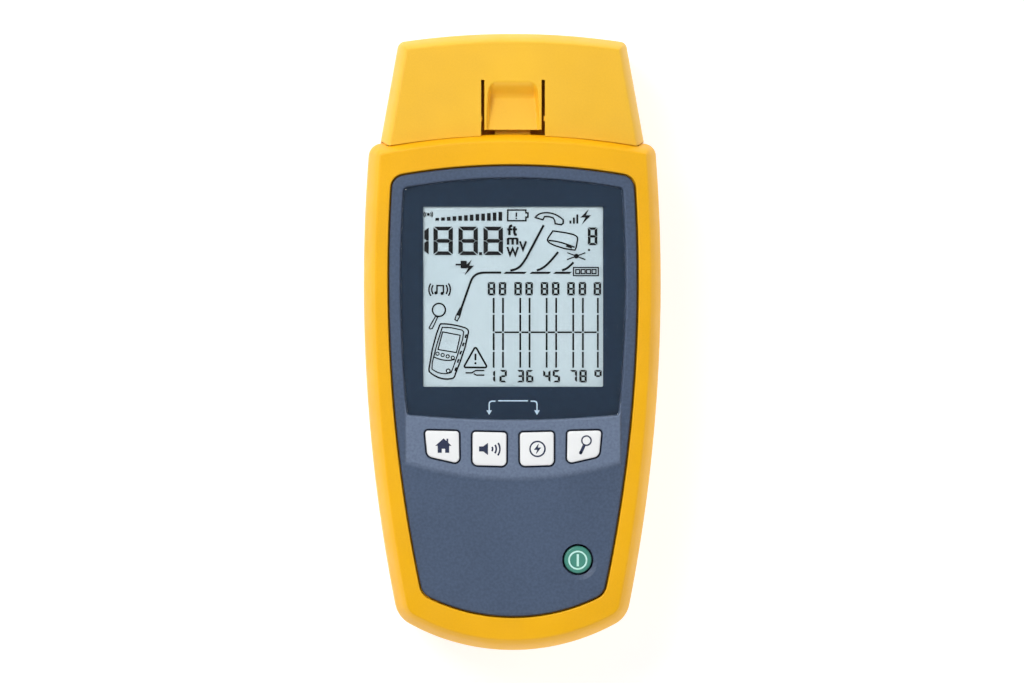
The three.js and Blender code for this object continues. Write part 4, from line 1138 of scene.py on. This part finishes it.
def tester_icon(marks):
    """A small picture of the tester itself."""
    fine = 0.29
    body = curve(4.9 + 30.7j, 7.2 + 30.6j, 9.6 + 31.2j, 11.2 + 31.7j, 6)
    body += curve(11.6 + 31.9j, 12.1 + 32.2j, 12.2 + 32.6j, 12.1 + 33.1j, 4)
    body += [11.2 + 37.0j, 9.9 + 40.8j, 8.9 + 43.3j, 8.5 + 44.5j]
    body += curve(8.1 + 44.9j, 6.3 + 45.4j, 3.9 + 45.1j, 1.9 + 43.2j, 8)
    body += [1.8 + 42.6j, 2.7 + 37.3j, 3.8 + 33.3j, 4.6 + 31.1j]
    marks.line(body, THIN, closed=True)
    panel = [5.3 + 31.6j, 7.6 + 31.7j, 10.4 + 32.3j, 10.9 + 32.8j, 10.6 + 34.8j, 9.3 + 38.8j, 8.0 + 42.5j]
    panel += curve(7.6 + 43.4j, 6.2 + 44.0j, 4.2 + 43.8j, 2.6 + 42.5j, 8)
    panel += [2.7 + 40.8j, 3.9 + 36.0j]
    marks.line(panel, fine, closed=True)
    marks.line([5.4 + 32.8j, 10.0 + 33.7j, 9.0 + 38.2j, 4.2 + 37.4j], fine, closed=True)
    marks.line(curve(3.0 + 39.3j, 4.8 + 40.2j, 6.8 + 40.5j, 8.6 + 40.0j, 8), fine)
    for i in range(4):
        marks.ring(complex(4.05 + i * 1.33, 38.5 + i * 0.35), 0.42, 0.24, 16)
    marks.ring(6.85 + 43.0j, 0.5, 0.28, 18)
    for i in range(5):
        y = 33.5 + i * 2.15
        x = 11.85 - 0.31 * (y - 33.1)
        marks.line([complex(x, y), complex(x - 0.3, y + 0.35), complex(x - 0.4, y + 0.9)], 0.42)


def display():
    """The liquid crystal glass and everything it shows."""
    glass = bevelled(block(-LCD.half_width, LCD.half_width, LCD.bottom, LCD.top, LCD.back, LCD.front), 0.15)
    piece(glass, "display_glass", "tester", GLASS, ["lcd_glass"])
    corner = complex(-WINDOW.half_width - 0.3, WINDOW.top + 0.1)
    marks = Marks(lambda p: corner + p.conjugate(), LCD.front + 0.1, LCD.front + 0.13)
    digits_and_units(marks)
    wire_map(marks)
    cable_and_ends(marks)
    signal_and_battery(marks)
    far_end_icons(marks)
    power_tone_and_warning(marks)
    tester_icon(marks)
    piece(marks.solid("display_marks"), "display_marks", "tester", SEGMENT)


def lens():
    """A clear lens, navy print under it with a clear window, and the pale arrows of the print."""
    low_z, top = low("display_lens").z, high("display_lens").z
    levels = [(0, low_z + 0.12), *rounded_rim(top, 0.35), (0.7, top)]
    pane = loft("display_lens", rings_of(LENS, levels))
    pane.visible_shadow = False
    piece(pane, "display_lens_clear", "tester", CLEAR, ["display_lens"])

    around = outline(LENS, 0.1)
    size = WINDOW.half_width + 0.02
    hole = rounded(rectangle(-size, size, WINDOW.bottom - 0.02, WINDOW.top + 0.02), [0.35] * 4)
    sheet = slab(around, low_z + 0.02, low_z + 0.1)
    combined(sheet, "DIFFERENCE", slab(hole, low_z - 1, low_z + 1))
    piece(sheet, "lens_mask", "tester", NAVY)

    marks = Marks(lambda p: p, low_z + 0.1, low_z + 0.115)
    for side in (-1, 1):
        x = side * ARROW.x
        bend = [complex(side * 4.6, -15.5), complex(side * 5.6, -15.5), complex(side * 6.1, -15.75)]
        marks.line([*bend, complex(x, -16.2), complex(x, ARROW.shoulder - 0.1)], ARROW.width)
        shoulders = [complex(x + way * ARROW.half_width, ARROW.shoulder) for way in (-1, 1)]
        marks.fill([*shoulders, complex(x, ARROW.tip)])
    marks.line([-3.9 - 15.4j, 3.9 - 15.4j], ARROW.width)
    piece(marks.solid("lens_arrows"), "lens_arrows", "tester", PALE_PRINT)


# ---------- keys and the power button ----------

def key_cap(key):
    """A key with a rounded rim and a slightly crowned face."""
    top, crown, round_ = KEY.top, 0.12, 0.45
    rim = top - crown
    levels = [(0, KEY.bottom), (0, rim - round_), *rounded_rim(rim, round_, 0.2, 7)]
    levels += [(0.9, rim + crown * 0.45), (1.6, rim + crown * 0.8), (2.6, top), (3.4, top)]
    rings = []
    for inset, z in levels:
        corners = grown(key.corners, -inset)
        rings.append((rounded(corners, [max(r - inset * 0.6, 0.3) for r in key.radii]), z))
    cap = loft("key", rings)
    name = f"key_{key.name}"
    piece(cap, f"{name}_cap", f"{key.name}_key", KEY_WHITE, [name])


def key_marks(name, draw, offset):
    """A sign printed on a key, at an offset from the middle of the key's corners."""
    centre = sum(next(k for k in KEYS if k.name == name).corners) / 4 + offset
    marks = Marks(lambda p: centre + p, KEY.top - 0.02, KEY.top + KEY.print_height)
    draw(marks)
    piece(marks.solid(name), f"key_{name}_print", f"{name}_key", KEY_PRINT)


def house(marks):
    """A home sign: a roof with a chimney, and two walls beside a door."""
    marks.fill([
        -2.1 - 0.05j, 0.1 + 1.9j, 0.85 + 1.2j, 0.85 + 1.8j, 1.3 + 1.8j,
        1.3 + 0.8j, 2.15 - 0.05j, 1.55 - 0.05j, 1.55 - 1.85j, 0.5 - 1.85j,
        0.5 - 0.8j, -0.4 - 0.8j, -0.4 - 1.85j, -1.45 - 1.85j, -1.45 - 0.05j,
    ])


def loudspeaker(marks):
    """A sound sign in place of a word."""
    marks.fill([-2.8 + 0.65j, -1.7 + 0.65j, -0.45 + 1.6j, -0.45 - 1.6j, -1.7 - 0.65j, -2.8 - 0.65j])
    for radius in (1.0, 1.95, 2.9):
        marks.line(arc(-0.25 + 0j, radius, -0.62, 0.7, 10), 0.44)


def lightning_ring(marks):
    """A power sign in place of a word."""
    marks.ring(0j, 1.95, 0.4, 48)
    marks.fill([0.35 + 1.45j, -0.95 - 0.25j, -0.1 - 0.25j, -0.45 - 1.45j, 0.95 + 0.35j, 0.1 + 0.35j])


def magnifier(marks):
    """A search sign."""
    marks.ring(0j, 1.22, 0.38)
    handle = [-0.6 - 1.25j, -1.5 - 3.2j]
    marks.line(handle, 0.8)
    marks.disc(handle[1], 0.4)


def power_button():
    """The round button with a slightly sunk face, and its printed sign."""
    top, round_ = POWER.top, 0.5
    profile = [(POWER.radius, KEY.bottom), (POWER.radius, top - round_)]
    profile += [(POWER.radius - inset, z) for inset, z in rounded_rim(top, round_, 0.2, 7)]
    profile += [(2.2, top - 0.04), (1.0, top - 0.07), (0, top - 0.08)]
    button = turned("power", profile, POWER.centre, 96)
    piece(button, "power_button_cap", "power_key", POWER_GREEN, ["power_button"])
    marks = Marks(lambda p: POWER.centre + p - 0.15j, top - 0.12, top + 0.02)
    marks.ring(0j, 2.28, 0.44, 64)
    marks.line([-1.6j, 1.6j], 0.6)
    piece(marks.solid("power_sign"), "power_button_print", "power_key", MINT)


# ---------- the adapter and its latch ----------

def case_inset(z):
    """How far the case's top wall stands in from its outline at a height."""
    profile = smooth(REAR_OUTER) + smooth(WALL_UP)
    insets, heights = zip(*profile)
    return float(np.interp(z, heights, insets))


def adapter_rings(levels, wall=0.0):
    """Rings of the adapter whose foot follows the case's wall at each height."""
    rings = []
    for inset, z in levels:
        foot = CASE.top_radius - case_inset(z) + wall
        rings.append((adapter_outline(inset, foot, FOOT_GAP.middle, FOOT_GAP.end), z))
    return rings


def adapter_shells():
    """Both shells are built as one solid and then split at the parting line."""
    body = loft("adapter", adapter_rings(smooth(ADAPTER_OUTER)))
    corners = rectangle(-PLUG.half_width, PLUG.half_width, PLUG.low, PLUG.high)
    combined(body, "UNION", along(rounded(corners, [PLUG.corner] * 4), PLUG.end, 57))
    inner = grown(corners, -PLUG.wall)
    hollow = loft("hollow", adapter_rings(smooth(ADAPTER_INNER, 3), 3))
    combined(body, "DIFFERENCE", hollow, along(rounded(inner, [PLUG.corner - 1.5] * 4), PLUG.end - 1, 60))
    screws = [flat_middle(f"adapter_screw_{i}") for i in (1, 2)]
    combined(body, "UNION", *(rod(centre, 4, PARTING, BOSS.adapter) for centre in screws))
    wide = TONGUE.slot + WELL.wall
    well = block(-wide, wide, TONGUE.bridge - WELL.wall, TONGUE.root + WELL.root_wall, WELL.floor, WELL.top)
    combined(body, "UNION", well)
    slot = block(-TONGUE.slot, TONGUE.slot, TONGUE.bridge, TONGUE.root, WELL.slot_low, FRONT)
    seat, head = SCREW_WAY.adapter_seat, SCREW_WAY.adapter_head + GAP
    combined(body, "DIFFERENCE", slot, *(screw_way(centre, seat, head, ADAPTER_BACK) for centre in screws))
    for side in (-1, 1):
        near, far = span(side, TONGUE.slot - NUB.reach, TONGUE.slot + NUB.root)
        combined(body, "UNION", block(near, far, NUB.start, NUB.end, NUB.low, NUB.high))
    rear = new_object("rear", body.data.copy())
    everywhere = (-50, 50, 40, 90)  # X and Y ranges that hold the whole adapter
    combined(body, "INTERSECT", block(*everywhere, PARTING_HIGH, FRONT + 5))
    combined(rear, "INTERSECT", block(*everywhere, -5, PARTING_LOW))
    piece(body, "adapter_front", "adapter", ADAPTER_SHEEN_YELLOW, ["adapter_front_shell"])
    piece(rear, "adapter_rear", "adapter", ADAPTER_SHEEN_YELLOW, ["adapter_rear_shell"])


def scoop_depth(x, y):
    """How deep the thumb scoop is below the adapter's face."""
    if y > SCOOP.foot:
        depth = SCOOP.deepest * (1 - ease((y - SCOOP.foot) / (SCOOP.crest - SCOOP.foot)) ** 1.05)
    else:
        share = (SCOOP.foot - y) / (SCOOP.foot - TONGUE.end)
        depth = SCOOP.deepest + (SCOOP.end_depth - SCOOP.deepest) * share
    share = (y - TONGUE.end) / (SCOOP.crest - TONGUE.end)
    half = SCOOP.end_width + (SCOOP.top_width - SCOOP.end_width) * share**1.6
    past = max(y - (SCOOP.crest - SCOOP.corner), 0) / SCOOP.corner
    half -= SCOOP.corner * (1 - math.sqrt(max(1 - past**2, 0)))
    return depth * ease((half - abs(x)) / SCOOP.wall)


def latch_tongue():
    """The tongue as a grid, flush with the adapter's face round the scoop and thinner towards its root."""
    columns, rows = 96, 110
    xs = np.linspace(-TONGUE.half_width, TONGUE.half_width, columns + 1)
    ys = np.linspace(TONGUE.end, TONGUE.root, rows + 1)
    edge, thickness, least = 0.22, 1.5, 1.0
    tops, bottoms = [], []
    for y in ys:
        for x in xs:
            z = TONGUE.face - scoop_depth(x, y)
            off_side = TONGUE.half_width - abs(x)
            off_end = y - TONGUE.end
            z -= float(rounding(edge, min(off_side, off_end)))
            tops.append((x, y, z))
            floor = TONGUE.face - min(SCOOP.deepest, scoop_depth(0, y)) - thickness
            bottoms.append((x, y, min(floor, z - least)))
    width = columns + 1
    count = len(tops)
    faces = []
    for r in range(rows):
        for c in range(columns):
            a = r * width + c
            faces.append((a, a + 1, a + width + 1, a + width))
            faces.append((count + a + width, count + a + width + 1, count + a + 1, count + a))
    border = [
        *range(width), *range(2 * width - 1, count, width),
        *range(count - 2, count - width - 1, -1), *range(count - 2 * width, 0, -width),
    ]
    for a, b in zip(border, border[1:] + border[:1]):
        faces.append((b, a, a + count, b + count))
    tray = mesh_object("tongue", tops + bottoms, faces)
    hook_side = [
        complex(HOOK.tip, HOOK.low), complex(HOOK.back, HOOK.low), complex(HOOK.back, HOOK.neck_top),
        complex(HOOK.neck, HOOK.neck_top), complex(HOOK.catch, HOOK.high), complex(HOOK.tip, HOOK.high),
    ]
    hook = bevelled(across(hook_side, -HOOK.half_width, HOOK.half_width), 0.2)
    combined(tray, "UNION", hook)
    piece(tray, "latch_tongue_arm", None, ADAPTER_SHEEN_YELLOW, ["latch_tongue"])
    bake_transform(tray)


# ---------- battery door, cells and screws ----------

def battery_door():
    """The door with its two tabs, grip ribs and the captive screw's counterbore."""
    corners = rectangle(-DOOR.half_width, DOOR.half_width, DOOR.bottom, DOOR.top)
    radii = [DOOR.corner, DOOR.corner, DOOR.upper_corner, DOOR.upper_corner]
    levels = [(0.45, 0), (0.2, 0.06), (0.06, 0.2), (0, 0.45), (0, DOOR.thickness)]
    door = loft("door", [
        (rounded(grown(corners, -inset), [r - inset for r in radii], 12), z) for inset, z in levels
    ])
    tip = DOOR.top + TAB.reach
    tab = [
        complex(DOOR.top - 2, 1.2), complex(DOOR.top, 1.2), complex(DOOR.top, TAB.low),
        complex(tip, TAB.low), complex(tip, TAB.high), complex(DOOR.top - 2, TAB.high),
    ]
    for side in (-1, 1):
        combined(door, "UNION", across(tab, *span(side, TAB.start, TAB.end)))
    ends = (-RIBS.half_length, RIBS.half_length)
    groove = [(0.5, -1), (0.5, 0), (0.28, 0.3), (0, 0.45)]
    cuts = [
        loft("rib", [
            (rounded(grown(rectangle(*ends, y, y + RIBS.width), wider - 0.2), [0.25 + wider] * 4, 6), z)
            for wider, z in groove
        ])
        for y in (RIBS.first + i * RIBS.pitch for i in range(RIBS.count))
    ]
    way = [
        (DOOR_SCREW.way + 0.25, -1), (DOOR_SCREW.way + 0.25, 0), (DOOR_SCREW.way, 0.3),
        (DOOR_SCREW.way, 1.5), (DOOR_SCREW.hole, 1.5), (DOOR_SCREW.hole, 4),
    ]
    cuts.append(turned("way", way, complex(0, DOOR_SCREW.y)))
    combined(door, "DIFFERENCE", *cuts)
    piece(door, "battery_door_cover", "door", YELLOW, ["battery_door"])


def screw(node, body):
    """A domed head with a cross recess, and a threaded shaft above it."""
    lowest, highest = low(node), high(node)
    centre = flat_middle(node)
    head = (highest.x - lowest.x) / 2
    shaft = head * 0.46
    height = head * 0.7
    z = lowest.z
    profile = [
        (0, z), (head * 0.55, z + 0.06), (head * 0.85, z + 0.28), (head, z + 0.8),
        (head, z + height), (shaft, z + height + 0.05),
    ]
    pitch = 0.5
    turns = int((highest.z - 1.2 - z - height) / pitch)
    for i in range(turns):
        step = z + height + 0.2 + i * pitch
        profile += [(shaft * 0.82, step), (shaft, step + pitch / 2)]
    profile += [(shaft * 0.8, highest.z - 1), (0, highest.z)]
    solid = turned(node, profile, centre, 40)
    arm, thick = head * 0.56, head * 0.12
    for way in (1, 1j):
        corners = [p * way + centre for p in rectangle(-arm, arm, -thick, thick)]
        tip = [p * way + centre for p in rectangle(-arm * 0.35, arm * 0.35, -thick * 0.6, thick * 0.6)]
        slot = loft("slot", [(corners, z - 0.5), (corners, z), (tip, z + height * 0.75)])
        combined(solid, "DIFFERENCE", slot)
    piece(solid, f"{node}_threaded", body, SCREW_STEEL, [node])


def battery_cell(node, positive_up):
    """A cell lying along Y, its sleeve folded over both ends."""
    lowest, highest = low(node), high(node)
    radius = (highest.x - lowest.x) / 2
    length = highest.y - lowest.y
    profile = [
        (0, 0), (radius - 1.5, 0), (radius - 1.5, -0.15), (radius - 0.4, -0.15), (radius, 0.3),
        (radius, length - 1.8), (radius - 0.4, length - 1.25), (radius - 1.6, length - 1.2),
        (radius - 1.7, length - 1.4), (3.4, length - 1.4), (2.75, length - 1.1), (2.75, length - 0.15),
        (2.6, length), (0, length),
    ]
    profile = [(r, max(h, 0)) for r, h in profile]
    solid = turned(node, profile, sides=72)
    sign = 1 if positive_up else -1
    start = lowest.y if positive_up else highest.y
    centre = middle(node)
    turn = Matrix(((sign, 0, 0, centre.x), (0, 0, sign, start), (0, -1, 0, centre.z), (0, 0, 0, 1)))
    solid.data.transform(turn)
    solid.data.materials.append(WRAP)
    solid.data.materials.append(STEEL)
    for face in solid.data.polygons:
        away = math.hypot(face.center.x - centre.x, face.center.z - centre.z)
        face.material_index = 1 if away < radius - 1.6 else 0
    piece(solid, f"{node}_wrapped", "tester", WRAP, [node])


def battery_spring(node, wide_end_low):
    """A conical spring along Y, flattened at its wide end."""
    lowest, highest = low(node), high(node)
    centre = middle(node)
    wire, wide, narrow, turns = 0.4, 4.5, 2.9, 2.75
    rise = highest.y - lowest.y - 2 * wire
    steps, ring = 120, 12
    vertices = []
    for i in range(steps + 1):
        t = i / steps
        angle = t * turns * 2 * math.pi
        radius = wide + (narrow - wide) * t
        height = wire + rise * ease(min(t * 1.15, 1))
        y = lowest.y + height if wide_end_low else highest.y - height
        for k in range(ring):
            turn = 2 * math.pi * k / ring
            r = radius + wire * math.cos(turn)
            x = centre.x + r * math.cos(angle)
            z = centre.z + r * math.sin(angle)
            vertices.append((x, y + wire * math.sin(turn), z))
    faces = []
    for i in range(steps):
        for k in range(ring):
            a, b = i * ring + k, i * ring + (k + 1) % ring
            faces.append((a, b, b + ring, a + ring))
    faces.append(tuple(range(ring))[::-1])
    faces.append(tuple(range(steps * ring, (steps + 1) * ring)))
    piece(mesh_object(node, vertices, faces), f"{node}_coil", "tester", STEEL, [node])


# ---------- CAD nodes that stay as they are ----------

KEPT = [
    (BLACK, "black_plastic", [
        "lcd_frame", "keypad_frame", "connector_plate", "tester_jack", "processor_chip", "line_transformer",
        "buzzer", "adapter_connector_plate", "adapter_jack", "adapter_id_resistors",
    ]),
    (DIFFUSER, "white_diffuser", ["lcd_backlight"]),
    (DARK_RUBBER, "elastomer", ["lcd_connector_strip"]),
    (BOARD, "circuit_board", ["main_board", "adapter_board"]),
    (STEEL, "steel", [
        "dome_home", "dome_tone", "dome_supply", "dome_search", "dome_power",
        "battery_link", "battery_plate_positive", "battery_plate_negative",
    ]),
    (SCREW_STEEL, "steel", [f"board_screw_{i}" for i in range(1, 5)]),
    (GOLD, "contact_gold", ["tester_jack_contacts", "adapter_jack_contacts"]),
]
BEVELLED = [
    "tester_jack", "adapter_jack", "connector_plate", "adapter_connector_plate", "processor_chip",
    "line_transformer", "battery_link", "battery_plate_positive", "battery_plate_negative",
]


def keep_cad_nodes():
    """Gives every kept node its material, and small bevels to those that can be seen."""
    for material, slot, names in KEPT:
        for name in names:
            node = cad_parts[name]
            node.data.materials.clear()
            node.data.materials.append(material)
    for name in BEVELLED:
        add_bevel(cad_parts[name], 0.15 * MM, 2)


# ---------- studio ----------

CAMERA = Sizes(distance=2.5, picture_width=0.26925, aside=-0.045, aim=(0, 0.00009, 0.0175), sensor=36)


def studio_camera():
    """A camera above the object and a little to its left, looking straight at it."""
    data = bpy.data.cameras.new("camera")
    data.sensor_width = CAMERA.sensor
    data.lens = CAMERA.sensor * CAMERA.distance / CAMERA.picture_width
    data.clip_end = 20
    camera = new_object("camera", data)
    aim = Vector(CAMERA.aim)
    camera.location = aim + Vector((CAMERA.aside, 0, CAMERA.distance))
    camera.rotation_euler = (0, math.atan2(CAMERA.aside, CAMERA.distance), 0)
    bpy.context.scene.camera = camera


def studio_world():
    """White all round, falling to a darker ceiling, so that flat gloss stays deep in colour."""
    world = bpy.data.worlds.new("studio")
    world.use_nodes = True
    bpy.context.scene.world = world
    tree = world.node_tree
    background = tree.nodes["Background"]
    place = tree.nodes.new("ShaderNodeTexCoord")
    split = tree.nodes.new("ShaderNodeSeparateXYZ")
    tree.links.new(place.outputs["Generated"], split.inputs["Vector"])
    strength = spread(tree, split.outputs["Z"], lowest=1, highest=0.12, start=0.02, end=0.65)
    tree.links.new(strength, background.inputs["Strength"])
    background.inputs["Color"].default_value = (1, 1, 1, 1)


def softbox(name, location, size, power):
    """A square lamp aimed at the middle of the object, out of the camera's sight."""
    data = bpy.data.lights.new(name, "AREA")
    data.shape = "SQUARE"
    data.size = size
    data.energy = power
    lamp = new_object(name, data)
    lamp.location = location
    lamp.rotation_euler = (-Vector(location)).to_track_quat("-Z", "Y").to_euler()
    lamp.visible_camera = False


def studio_floor():
    """A white table top that glows faintly, so that the picture's edges stay white."""
    floor = block(-1500, 1500, -1500, 1500, -2, 0, "floor")
    floor.data.transform(Matrix.Scale(MM, 4))
    material, tree, shader = new_material("studio_floor")
    tint = mottled(tree, 120, (0.44, 0.44, 0.44, 1), (0.48, 0.48, 0.48, 1))
    tree.links.new(tint, shader.inputs["Base Color"])
    shader.inputs["Roughness"].default_value = 0.9
    shader.inputs["Emission Color"].default_value = (1, 1, 1, 1)
    shader.inputs["Emission Strength"].default_value = 0.76
    floor.data.materials.append(material)


def studio():
    """White surroundings, four soft lamps and a white table top."""
    bpy.context.scene.view_settings.view_transform = "Standard"
    studio_camera()
    studio_world()
    softbox("key_softbox", (-0.42, 0.42, 0.82), 0.45, 6.4)
    softbox("fill_softbox", (0.8, 0.1, 0.7), 0.6, 1.9)
    softbox("low_softbox", (0.1, -0.8, 0.5), 0.6, 1.5)
    softbox("high_softbox", (-0.3, 0.9, 0.4), 0.6, 1.2)
    studio_floor()


# ---------- assembly ----------

studio()
front_shell()
rear_case()
front_panel()
key_seals()
display()
lens()
for key in KEYS:
    key_cap(key)
for key_name, drawing, offset in (
    ("home", house, 0.15 - 0.05j), ("tone", loudspeaker, 0.05 + 0j), ("supply", lightning_ring, 0.15 + 0j),
    ("search", magnifier, 0.7 + 1.25j),
):
    key_marks(key_name, drawing, offset)
power_button()
adapter_shells()
latch_tongue()
battery_door()
for number in range(1, 5):
    screw(f"case_screw_{number}", "tester")
for number in (1, 2):
    screw(f"adapter_screw_{number}", "adapter")
screw("battery_door_screw", "door_screw")
battery_cell("cell_left", True)
battery_cell("cell_right", False)
battery_spring("battery_spring_left", True)
battery_spring("battery_spring_right", False)
keep_cad_nodes()
